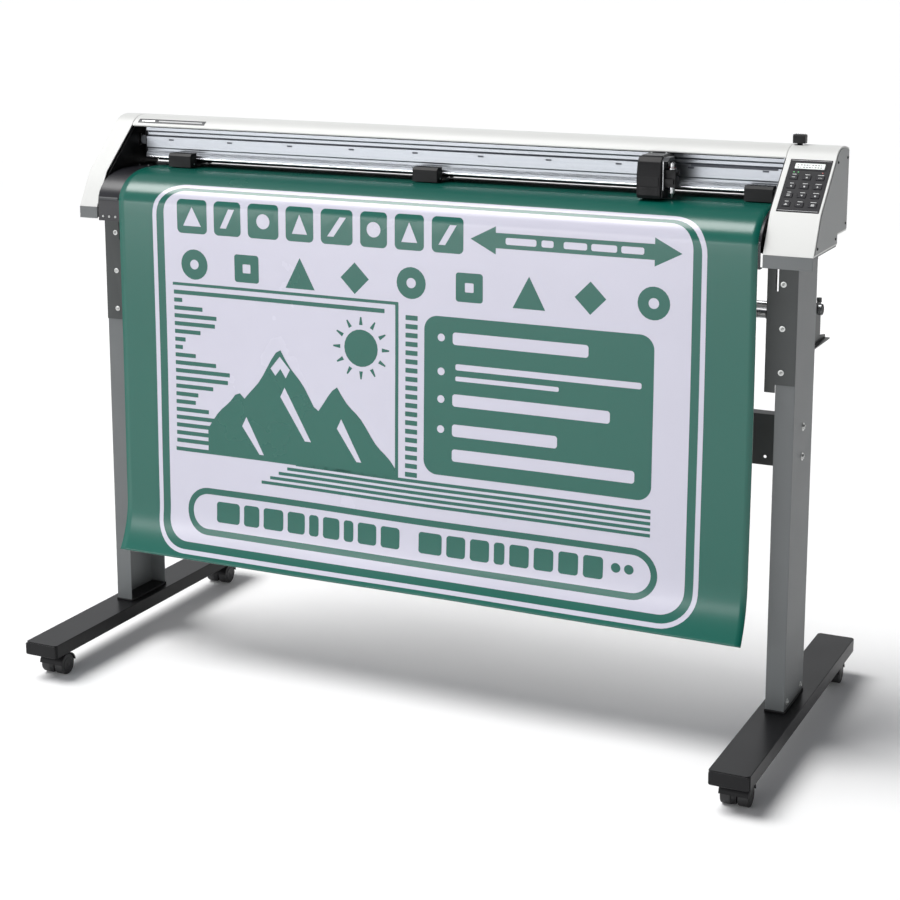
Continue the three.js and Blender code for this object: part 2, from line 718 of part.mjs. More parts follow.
function carriageMotor() {
  const front = PULLEY.y + PULLEY.width / 2 + 1;
  const plate = block(
    PULLEY.rightX - 21, PULLEY.rightX + 21, front, front + 6, PULLEY.z - 21, PULLEY.z + 21,
  );
  return join(plate, rodY(19.5, PULLEY.rightX, front + 4, front + 46, PULLEY.z, 24));
}

function addHead() {
  add("carriage", carriage(), "black");
  add("tool_plunger", toolPlunger(), "black");
  add("blade_holder", bladeHolder(), "steel");
  add("idler_pulley", pulley(PULLEY.leftX), "alloy");
  add("drive_pulley", pulley(PULLEY.rightX), "alloy");
  add("carriage_motor", carriageMotor(), "dark");
}

addStand();
addMainUnit();
addFeed();
addHead();

export default machine;
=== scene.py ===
"""The looks of a floor-standing vinyl cutter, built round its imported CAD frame.

Metres. +X is the operator's right, +Y the back, +Z up. The origin is on the floor.
"""
import json
import math

import bmesh
import bpy
from mathutils import Matrix, Vector


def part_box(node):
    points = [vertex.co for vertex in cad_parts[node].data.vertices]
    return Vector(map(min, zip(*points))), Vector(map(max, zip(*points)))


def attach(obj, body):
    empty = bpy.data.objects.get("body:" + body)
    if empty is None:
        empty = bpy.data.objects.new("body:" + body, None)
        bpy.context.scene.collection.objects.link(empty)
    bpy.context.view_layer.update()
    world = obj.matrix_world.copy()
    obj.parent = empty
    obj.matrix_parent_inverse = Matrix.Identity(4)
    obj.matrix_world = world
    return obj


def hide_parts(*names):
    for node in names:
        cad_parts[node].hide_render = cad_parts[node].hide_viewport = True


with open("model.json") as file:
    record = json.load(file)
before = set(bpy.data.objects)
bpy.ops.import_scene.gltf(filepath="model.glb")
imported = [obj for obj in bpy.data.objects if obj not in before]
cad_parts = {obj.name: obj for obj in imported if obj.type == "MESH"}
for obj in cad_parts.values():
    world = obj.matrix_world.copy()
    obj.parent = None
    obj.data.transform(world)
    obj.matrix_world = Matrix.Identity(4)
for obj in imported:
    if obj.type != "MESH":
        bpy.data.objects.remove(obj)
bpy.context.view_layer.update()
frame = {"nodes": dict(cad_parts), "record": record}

NODES = frame["nodes"]
ENDS = ("front", "rear")
SIDES = {"left": -1, "right": 1}
UNITS = ("left", "middle", "right")
MM = 0.001


# ---- camera, light and floor ----

def make_camera():
    data = bpy.data.cameras.new("camera")
    data.lens = 77.5
    data.shift_y = -0.16
    data.clip_end = 200
    camera = bpy.data.objects.new("camera", data)
    camera.location = (1.614, -3.376, 1.490)
    tilt, turn = math.radians(90 - 10.9), math.radians(25.27)
    camera.rotation_euler = (tilt, 0, turn)
    bpy.context.scene.collection.objects.link(camera)
    bpy.context.scene.camera = camera


def link(name, mesh):
    obj = bpy.data.objects.new(name, mesh)
    bpy.context.scene.collection.objects.link(obj)
    return obj


def aim(obj, place, target):
    obj.location = place
    way = Vector(target) - Vector(place)
    obj.rotation_euler = way.to_track_quat("-Z", "Y").to_euler()


def add_panel_light(name, place, target, width, height, radiance, color=(1, 1, 1)):
    """A soft box of one even brightness."""
    data = bpy.data.lights.new(name, "AREA")
    data.shape = "RECTANGLE"
    data.size, data.size_y = width, height
    data.energy = radiance * math.pi * width * height
    data.color = color
    lamp = bpy.data.objects.new(name, data)
    bpy.context.scene.collection.objects.link(lamp)
    aim(lamp, place, target)


def add_high_light():
    """A wide even light from above, to the left, which lights the whole floor alike."""
    data = bpy.data.lights.new("high_light", "SUN")
    data.energy = 2.9
    data.angle = math.radians(36)
    data.color = (1, 0.995, 0.985)
    lamp = bpy.data.objects.new("high_light", data)
    bpy.context.scene.collection.objects.link(lamp)
    aim(lamp, (-0.42, -0.16, 0.88), (0, 0, 0))


def make_world():
    """A pale room. It is white where it is looked at, and lights the object more from low down and the left."""
    world = bpy.data.worlds.new("room")
    bpy.context.scene.world = world
    world.use_nodes = True
    tree = world.node_tree
    seen, lighting = tree.nodes["Background"], tree.nodes.new("ShaderNodeBackground")
    seen.inputs["Color"].default_value = (0.97, 0.975, 0.98, 1)
    way = tree.nodes.new("ShaderNodeTexCoord")
    split = tree.nodes.new("ShaderNodeSeparateXYZ")
    tree.links.new(way.outputs["Generated"], split.inputs[0])
    high = tree.nodes.new("ShaderNodeValToRGB")
    low_stop, high_stop = high.color_ramp.elements
    low_stop.position, low_stop.color = 0.4, (0.66, 0.67, 0.69, 1)
    high_stop.position, high_stop.color = 0.8, (0.2, 0.205, 0.22, 1)
    tree.links.new(split.outputs["Z"], high.inputs["Fac"])
    across = tree.nodes.new("ShaderNodeMapRange")
    across.inputs["From Min"].default_value = -1
    across.inputs["To Min"].default_value = 1.3
    across.inputs["To Max"].default_value = 0.0
    tree.links.new(split.outputs["X"], across.inputs["Value"])
    tree.links.new(high.outputs["Color"], lighting.inputs["Color"])
    tree.links.new(across.outputs[0], lighting.inputs["Strength"])
    path, mix = tree.nodes.new("ShaderNodeLightPath"), tree.nodes.new("ShaderNodeMixShader")
    tree.links.new(path.outputs["Is Camera Ray"], mix.inputs["Fac"])
    tree.links.new(lighting.outputs[0], mix.inputs[1])
    tree.links.new(seen.outputs[0], mix.inputs[2])
    tree.links.new(mix.outputs[0], tree.nodes["World Output"].inputs["Surface"])


def make_floor():
    half = 60
    mesh = bpy.data.meshes.new("floor")
    mesh.from_pydata([(-half, -half, 0), (half, -half, 0), (half, half, 0), (-half, half, 0)], [], [(0, 1, 2, 3)])
    floor = link("floor", mesh)
    mesh.materials.append(surface("floor_paint", (0.95, 0.95, 0.953), 0.8, mottle=(3, 0.01), grain=(120, 0.02),
                                  specular_ior_level=0.0))


# ---- materials ----

def surface(name, color, roughness, metallic=0.0, mottle=(8, 0.05), grain=(900, 0.1), stretch=(1, 1, 1),
            wear=0.0, uneven=0.06, **shader_values):
    """A procedural surface, in metres: colour that drifts, uneven gloss, a fine bump and paler, worn edges.

    mottle is (patches per metre, share of the colour), grain is (grains per metre, bump strength).
    """
    material = bpy.data.materials.new(name)
    material.use_nodes = True
    tree = material.node_tree
    nodes, links = tree.nodes, tree.links
    shader = nodes["Principled BSDF"]
    shader.inputs["Metallic"].default_value = metallic
    for key, value in shader_values.items():
        shader.inputs[key.replace("_", " ").title().replace("Ior", "IOR")].default_value = value
    place = nodes.new("ShaderNodeTexCoord")
    fit = nodes.new("ShaderNodeMapping")
    fit.inputs["Scale"].default_value = stretch
    links.new(place.outputs["Object"], fit.inputs["Vector"])

    patches = nodes.new("ShaderNodeTexNoise")
    patches.inputs["Scale"].default_value = mottle[0]
    patches.inputs["Detail"].default_value = 5
    links.new(fit.outputs[0], patches.inputs["Vector"])
    ramp = nodes.new("ShaderNodeValToRGB")
    ramp.color_ramp.elements[0].position = 0.3
    ramp.color_ramp.elements[1].position = 0.7
    ramp.color_ramp.elements[0].color = (*[c * (1 - mottle[1]) for c in color], 1)
    ramp.color_ramp.elements[1].color = (*[min(c * (1 + mottle[1]), 1) for c in color], 1)
    links.new(patches.outputs["Fac"], ramp.inputs["Fac"])
    tint = ramp.outputs["Color"]

    if wear:
        edges = nodes.new("ShaderNodeNewGeometry")
        edge_ramp = nodes.new("ShaderNodeValToRGB")
        edge_ramp.color_ramp.elements[0].position = 0.52
        edge_ramp.color_ramp.elements[1].position = 0.62
        edge_ramp.color_ramp.elements[1].color = (wear, wear, wear, 1)
        links.new(edges.outputs["Pointiness"], edge_ramp.inputs["Fac"])
        paler = nodes.new("ShaderNodeMix")
        paler.data_type = "RGBA"
        paler.inputs[7].default_value = (*[0.5 * c + 0.22 for c in color], 1)
        links.new(edge_ramp.outputs["Color"], paler.inputs[0])
        links.new(tint, paler.inputs[6])
        tint = paler.outputs[2]
    links.new(tint, shader.inputs["Base Color"])

    fine = nodes.new("ShaderNodeTexNoise")
    fine.inputs["Scale"].default_value = grain[0]
    fine.inputs["Detail"].default_value = 3
    links.new(fit.outputs[0], fine.inputs["Vector"])
    gloss = nodes.new("ShaderNodeMapRange")
    gloss.inputs["To Min"].default_value = max(roughness - uneven, 0.03)
    gloss.inputs["To Max"].default_value = roughness + uneven
    links.new(patches.outputs["Fac"], gloss.inputs["Value"])
    links.new(gloss.outputs[0], shader.inputs["Roughness"])
    bump = nodes.new("ShaderNodeBump")
    bump.inputs["Strength"].default_value = grain[1]
    bump.inputs["Distance"].default_value = 0.3 * MM
    links.new(fine.outputs["Fac"], bump.inputs["Height"])
    links.new(bump.outputs[0], shader.inputs["Normal"])
    return material


def wavy_film(name, color):
    """Self-adhesive film: a satin skin with a fine grain, on a sheet that is never quite flat."""
    material = surface(name, color, 0.27, mottle=(5, 0.012), grain=(1500, 0.04), uneven=0.012,
                       ior=1.52, coat_weight=0.2, coat_roughness=0.3)
    tree = material.node_tree
    place = next(n for n in tree.nodes if n.type == "TEX_COORD")
    bump = next(n for n in tree.nodes if n.type == "BUMP")
    swell = tree.nodes.new("ShaderNodeTexNoise")
    swell.inputs["Scale"].default_value = 4.5
    swell.inputs["Detail"].default_value = 1
    tree.links.new(place.outputs["Object"], swell.inputs["Vector"])
    wide = tree.nodes.new("ShaderNodeBump")
    wide.inputs["Strength"].default_value = 0.12
    wide.inputs["Distance"].default_value = 12 * MM
    tree.links.new(swell.outputs["Fac"], wide.inputs["Height"])
    tree.links.new(wide.outputs[0], bump.inputs["Normal"])
    return material


def make_materials():
    along_rail = (0.02, 1, 1)
    return {
        "white_plastic": surface("white_abs", (0.69, 0.695, 0.68), 0.45, mottle=(6, 0.015),
                                 grain=(1100, 0.12), ior=1.5),
        "grey_paint": surface("grey_powder_coat", (0.14, 0.15, 0.153), 0.45, mottle=(14, 0.04),
                              grain=(700, 0.28), wear=0.2, specular_ior_level=0.35),
        # The end panels' grey is partly their own colour and partly painted shade: the ends are darkened in colour for
        # the shade on the side away from the light.
        "end_shade_grey": surface("grey_end_painted_shade", (0.235, 0.245, 0.245), 0.45, mottle=(9, 0.04), grain=(900, 0.25),
                            wear=0.3),
        "black_paint": surface("black_gloss_paint", (0.006, 0.006, 0.007), 0.3, mottle=(10, 0.2),
                               grain=(500, 0.16), wear=0.05, specular_ior_level=0.13),
        "dark_paint": surface("dark_satin_paint", (0.05, 0.055, 0.055), 0.45, mottle=(12, 0.08),
                              grain=(700, 0.22), wear=0.15, specular_ior_level=0.35),
        "platen_metal": surface("platen_paint", (0.014, 0.014, 0.018), 0.34, mottle=(12, 0.12),
                                grain=(800, 0.12), wear=0.08, specular_ior_level=0.4),
        "black_plastic": surface("black_plastic", (0.008, 0.008, 0.009), 0.42, mottle=(20, 0.12),
                                 grain=(1600, 0.25), wear=0.08, specular_ior_level=0.18),
        "head_grey": surface("charcoal_plastic", (0.05, 0.053, 0.058), 0.42, mottle=(20, 0.1),
                             grain=(1600, 0.25), wear=0.15, specular_ior_level=0.4),
        "panel_plastic": surface("panel_film", (0.006, 0.006, 0.009), 0.42, mottle=(20, 0.1),
                                 grain=(2400, 0.1), specular_ior_level=0.16),
        "key_rubber": surface("key_rubber", (0.015, 0.015, 0.019), 0.5, mottle=(40, 0.1),
                              grain=(2600, 0.2), specular_ior_level=0.2),
        "alloy": surface("brushed_alloy", (0.3, 0.315, 0.34), 0.33, 1.0, mottle=(90, 0.1),
                         grain=(2500, 0.2), stretch=along_rail, anisotropic=0.4),
        "bright_alloy": surface("bright_alloy", (0.72, 0.73, 0.76), 0.25, 1.0, mottle=(90, 0.08),
                                grain=(2500, 0.15), stretch=along_rail),
        "label": surface("cover_label", (0.035, 0.036, 0.042), 0.45, mottle=(40, 0.1), grain=(2400, 0.05)),
        "screen_ink": surface("screen_ink", (0.05, 0.065, 0.06), 0.3, mottle=(60, 0.1), grain=(900, 0.02)),
        "lamp_green": surface("green_lamp", (0.05, 0.45, 0.1), 0.25, mottle=(60, 0.1), grain=(900, 0.02)),
        "hub_plastic": surface("hub_plastic", (0.014, 0.014, 0.015), 0.4, mottle=(60, 0.12),
                               grain=(1400, 0.2), specular_ior_level=0.4),
        "steel": surface("turned_steel", (0.5, 0.51, 0.52), 0.28, 1.0, mottle=(60, 0.1), grain=(1800, 0.15),
                         stretch=(1, 0.1, 0.1)),
        "wheel_plastic": surface("wheel_rubber", (0.02, 0.02, 0.021), 0.6, mottle=(60, 0.15),
                                 grain=(1400, 0.3)),
        "vinyl": wavy_film("green_film", (0.001, 0.108, 0.079)),
        "liner": wavy_film("pale_liner", (0.60, 0.59, 0.69)),
        "liner_back": surface("liner_back", (0.7, 0.69, 0.66), 0.6, mottle=(7, 0.03), grain=(1200, 0.15)),
        "zinc": surface("zinc_plate", (0.56, 0.57, 0.56), 0.34, 1.0, mottle=(150, 0.1), grain=(1500, 0.15)),
        "black_screw": surface("black_oxide", (0.03, 0.03, 0.032), 0.35, 0.8, mottle=(150, 0.1),
                               grain=(1500, 0.15)),
        "mark": surface("mark_ink", (0.09, 0.095, 0.12), 0.5, mottle=(60, 0.1), grain=(1500, 0.1)),
        "pale_ink": surface("pale_ink", (0.55, 0.56, 0.56), 0.5, mottle=(60, 0.06), grain=(1500, 0.05)),
        "glass": surface("display_glass", (0.42, 0.47, 0.45), 0.12, mottle=(200, 0.05), grain=(900, 0.01),
                         coat_weight=0.5, coat_roughness=0.04),
        "red": surface("red_plastic", (0.35, 0.02, 0.018), 0.35, mottle=(60, 0.1), grain=(1500, 0.1)),
        "nylon": surface("ivory_nylon", (0.68, 0.66, 0.58), 0.5, mottle=(40, 0.05), grain=(1200, 0.15)),
        "belt": surface("belt_rubber", (0.018, 0.018, 0.03), 0.5, mottle=(60, 0.1), grain=(1500, 0.3)),
    }


# ---- CAD pieces ----

BEVELS = {
    "cover": 2.2 * MM, "leg": 1.2 * MM, "foot": 1.6 * MM, "bracket": 0.8 * MM, "key": 0.9 * MM,
    "carriage": 2.5 * MM, "control": 0.5 * MM, "beam": 1.0 * MM, "base": 0.9 * MM, "caster": 0.7 * MM,
    "lever": 1.2 * MM,
}


PIERCED = ("control_panel", "platen", "right_cover")


def finish_cad_nodes(looks):
    """Gives each CAD node its material, and rounds its edges with modifiers."""
    slots = {s["node"]: s["material_slot"] for s in frame["record"]["subparts"]}
    for name, obj in NODES.items():
        obj.data.materials.clear()
        obj.data.materials.append(looks[slots[name]])
        if "custom_normal" in obj.data.attributes:
            obj.data.attributes.remove(obj.data.attributes["custom_normal"])
        obj.data.polygons.foreach_set("use_smooth", [True] * len(obj.data.polygons))
        weld = obj.modifiers.new("weld", "WELD")
        weld.merge_threshold = 0.01 * MM
        if name == "control_panel":
            obj.modifiers.remove(weld)
            obj.data.polygons.foreach_set("use_smooth", [False] * len(obj.data.polygons))
            continue
        if name not in PIERCED:
            planes = obj.modifiers.new("planes", "DECIMATE")
            planes.decimate_type = "DISSOLVE"
            planes.angle_limit = math.radians(0.6)
        bevel = obj.modifiers.new("bevel", "BEVEL")
        bevel.width = next((w for part, w in BEVELS.items() if part in name), 0.4 * MM)
        bevel.segments = 3
        bevel.limit_method = "ANGLE"
        bevel.angle_limit = math.radians(32)
        bevel.harden_normals = True


# ---- mesh helpers ----

def mesh_object(name, verts, faces, material, body="machine", smooth=True):
    mesh = bpy.data.meshes.new(name)
    mesh.from_pydata(verts, [], faces)
    mesh.validate()
    for polygon in mesh.polygons:
        polygon.use_smooth = smooth
    obj = link(name, mesh)
    mesh.materials.append(material)
    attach(obj, body)
    return obj


# ---- the sheet of film ----

SHEET = {"half": 0.672, "back": 0.104, "thick": 0.5 * MM, "ease": 0.45 * MM}
SHOULDER = {"start": -0.014, "reach": 0.102, "drop": 0.060, "top": 1.010}
CURL = {"top": 0.329, "radius": 0.193, "angle": math.radians(34)}


def sheet_path():
    """Points (y, z, outward y, outward z, height if unrolled) down the middle of the film, from the back edge."""
    lift = SHEET["ease"] + SHEET["thick"]
    a, b = SHOULDER["reach"] + lift, SHOULDER["drop"] + lift
    bend = SHOULDER["top"] - SHOULDER["drop"]
    front = SHOULDER["start"] - a
    line = []
    for i in range(7):
        line.append((SHEET["back"] + (SHOULDER["start"] - SHEET["back"]) * i / 7, SHOULDER["top"] + lift, 0, 1))
    for i in range(41):
        t = math.pi / 2 * (1 - i / 40)
        out = Vector((-math.cos(t) / a, math.sin(t) / b)).normalized()
        line.append((SHOULDER["start"] - a * math.cos(t), bend + b * math.sin(t), out.x, out.y))
    for i in range(1, 31):
        line.append((front, bend + (CURL["top"] - bend) * i / 30, -1, 0))
    for i in range(1, 25):
        t = CURL["angle"] * i / 24
        line.append((front - CURL["radius"] * (1 - math.cos(t)), CURL["top"] - CURL["radius"] * math.sin(t),
                     -math.cos(t), math.sin(t)))
    heights = [0.0]
    for (y0, z0, *_), (y1, z1, *_) in zip(line, line[1:]):
        heights.append(heights[-1] - math.hypot(y1 - y0, z1 - z0))
    at_bend = heights[47]
    return [(*p, h - at_bend + bend) for p, h in zip(line, heights)]


PATH = sheet_path()


def sag(x, height):
    """How far the free film swells outwards from its path at a point, in metres."""
    free = max(0.0, min(1.0, (0.93 - height) / 0.35))
    return free * (3.2 * MM * math.sin(5.3 * x + 0.9) + 1.6 * MM * math.sin(11.7 * x + 4 * height)
                   + 2.2 * MM * math.sin(6.5 * height) + 2.5 * MM)


def on_sheet(x, height, lift=0.0):
    """The point on the film at x, at a height on the unrolled film."""
    low, high = 0, len(PATH) - 1
    while high - low > 1:
        middle = (low + high) // 2
        if PATH[middle][4] > height:
            low = middle
        else:
            high = middle
    p, q = PATH[low], PATH[high]
    t = (p[4] - height) / (p[4] - q[4])
    y, z, ny, nz = (p[i] + (q[i] - p[i]) * t for i in range(4))
    out = sag(x, height) + lift
    return Vector((x, y + ny * out, z + nz * out))


def make_sheet(looks):
    """The film: its printed side out, and the liner's plain back behind."""
    columns = 96
    rows = [p[4] for p in PATH]
    xs = [SHEET["half"] * (2 * i / columns - 1) for i in range(columns + 1)]
    verts = [on_sheet(x, h) for h in rows for x in xs]
    verts += [on_sheet(x, h, -SHEET["thick"]) for h in rows for x in xs]
    wide, layer = columns + 1, len(rows) * (columns + 1)
    faces, backs = [], []
    for r in range(len(rows) - 1):
        for c in range(columns):
            i = r * wide + c
            faces.append((i, i + wide, i + wide + 1, i + 1))
            backs.append((layer + i, layer + i + 1, layer + i + wide + 1, layer + i + wide))
    last = (len(rows) - 1) * wide
    for c in range(columns):
        backs.append((c, c + 1, layer + c + 1, layer + c))
        backs.append((last + c, layer + last + c, layer + last + c + 1, last + c + 1))
    for r in range(len(rows) - 1):
        i, j = r * wide, r * wide + columns
        backs.append((i, layer + i, layer + i + wide, i + wide))
        backs.append((j, j + wide, layer + j + wide, layer + j))
    sheet = mesh_object("film_sheet", verts, faces + backs, looks["vinyl"])
    sheet.data.materials.append(looks["liner_back"])
    for polygon in sheet.data.polygons[len(faces):]:
        polygon.material_index = 1
    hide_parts("vinyl_sheet")
    return sheet


# Outlines on the unrolled film are lists of (x, height) points.

def arc(x, h, radius, start, end, steps=10):
    angles = [math.radians(start + (end - start) * i / steps) for i in range(steps + 1)]
    return [(x + radius * math.cos(a), h + radius * math.sin(a)) for a in angles]


def round_box(x0, x1, h0, h1, radius):
    r = min(radius, (x1 - x0) / 2 - 1e-5, (h1 - h0) / 2 - 1e-5)
    return (arc(x1 - r, h0 + r, r, -90, 0) + arc(x1 - r, h1 - r, r, 0, 90)
            + arc(x0 + r, h1 - r, r, 90, 180) + arc(x0 + r, h0 + r, r, 180, 270))


def disc(x, h, radius):
    return arc(x, h, radius, 0, 345, 23)


def flat_mesh(outlines):
    """A filled flat mesh of outlines, in which a smaller one inside a larger one is a hole."""
    curve = bpy.data.curves.new("outlines", "CURVE")
    curve.dimensions = "2D"
    curve.fill_mode = "BOTH"
    for points in outlines:
        spline = curve.splines.new("POLY")
        spline.points.add(len(points) - 1)
        for point, (x, h) in zip(spline.points, points):
            point.co = (x, h, 0, 1)
        spline.use_cyclic_u = True
    holder = link("outlines", curve)
    graph = bpy.context.evaluated_depsgraph_get()
    mesh = bpy.data.meshes.new_from_object(holder.evaluated_get(graph))
    bpy.data.objects.remove(holder)
    bpy.data.curves.remove(curve)
    return mesh


def print_on_sheet(name, outlines, lift, material):
    """Lays flat outlines on the film, a little proud of it, cut into strips that follow its bends."""
    shape = bmesh.new()
    shape.from_mesh(flat_mesh(outlines))
    for height in [p[4] for p in PATH[::2]]:
        bmesh.ops.bisect_plane(shape, geom=shape.verts[:] + shape.edges[:] + shape.faces[:], dist=1e-6,
                               plane_co=(0, height, 0), plane_no=(0, 1, 0))
    for i in range(-23, 24):
        bmesh.ops.bisect_plane(shape, geom=shape.verts[:] + shape.edges[:] + shape.faces[:], dist=1e-6,
                               plane_co=(i * 0.028, 0, 0), plane_no=(1, 0, 0))
    for face in shape.faces:
        if face.normal.z < 0:
            face.normal_flip()
    for vert in shape.verts:
        vert.co = on_sheet(vert.co.x, vert.co.y, lift)
    mesh = bpy.data.meshes.new(name)
    shape.to_mesh(mesh)
    shape.free()
    for polygon in mesh.polygons:
        polygon.use_smooth = True
    obj = link(name, mesh)
    mesh.materials.append(material)
    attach(obj, "machine")
    return obj


FRAME = {"left": -0.591, "right": 0.580, "low": 0.2255, "high": 1.001, "radius": 0.072, "line": 0.0095}
PANEL = {"left": -0.564, "right": 0.554, "low": 0.2515, "high": 0.984, "radius": 0.048}
BOX = {"left": 0.022, "right": 0.485, "low": 0.464, "high": 0.775, "radius": 0.028}
PICTURE = {"left": -0.545, "right": -0.033, "low": 0.455, "high": 0.783}
PILL = {"left": -0.521, "right": 0.501, "low": 0.271, "high": 0.371, "line": 0.013}


def heading_blocks():
    """A heading row of plain blocks, each with a different cut."""
    low, high = 0.897, 0.966
    widths = (0.070, 0.062, 0.070, 0.062, 0.070, 0.058, 0.062, 0.066)
    outlines, x = [], -0.532
    for i, width in enumerate(widths):
        outlines.append(round_box(x, x + width, low, high, 0.010))
        near, far, foot, top = x + 0.014, x + width - 0.014, low + 0.015, high - 0.015
        if i % 3 == 0:
            outlines.append([(near, foot), (far, foot), ((near + far) / 2, top)])
        elif i % 3 == 1:
            outlines.append([(near, foot), (near + 0.014, foot), (far, top), (far - 0.014, top)])
        else:
            outlines.append(disc((near + far) / 2, (low + high) / 2, 0.015))
        x += width + 0.0165
    return outlines


def shape_row():
    """A row of plain shapes: pierced discs, pierced squares, triangles and diamonds."""
    middle, radius = 0.834, 0.031
    outlines = []
    for i in range(9):
        x = -0.494 + i * 0.122
        kind = i % 4
        if kind == 0:
            outlines += [disc(x, middle, radius), disc(x, middle, 0.010)]
        elif kind == 1:
            outlines.append(round_box(x - 0.028, x + 0.028, middle - 0.028, middle + 0.028, 0.006))
            outlines.append(round_box(x - 0.009, x + 0.009, middle - 0.009, middle + 0.009, 0.002))
        elif kind == 2:
            outlines.append([(x - 0.033, middle - radius), (x + 0.033, middle - radius), (x, middle + radius)])
        else:
            outlines.append([(x - radius, middle), (x, middle - radius), (x + radius, middle), (x, middle + radius)])
    return outlines


def double_arrow():
    left, right, middle = 0.118, 0.534, 0.928
    head, wing, shaft = 0.052, 0.0265, 0.0145
    return [(left, middle), (left + head, middle - wing), (left + head, middle - shaft),
            (right - head, middle - shaft), (right - head, middle - wing), (right, middle),
            (right - head, middle + wing), (right - head, middle + shaft),
            (left + head, middle + shaft), (left + head, middle + wing)]


def bars(spans, low, high, radius):
    return [round_box(x0, x1, low, high, radius) for x0, x1 in spans]


def ridge_line(x0, x1, base, peaks, steps=40):
    """A hill outline on a base line, from a few peaks given as (x, height, half width)."""
    crest = []
    for i in range(steps + 1):
        x = x1 + (x0 - x1) * i / steps
        rise = max(h * max(0.0, 1 - abs(x - px) / half) for px, h, half in peaks)
        crest.append((x, base + 0.012 + rise + 0.004 * math.sin(95 * x)))
    return [(x0, base), (x1, base)] + crest


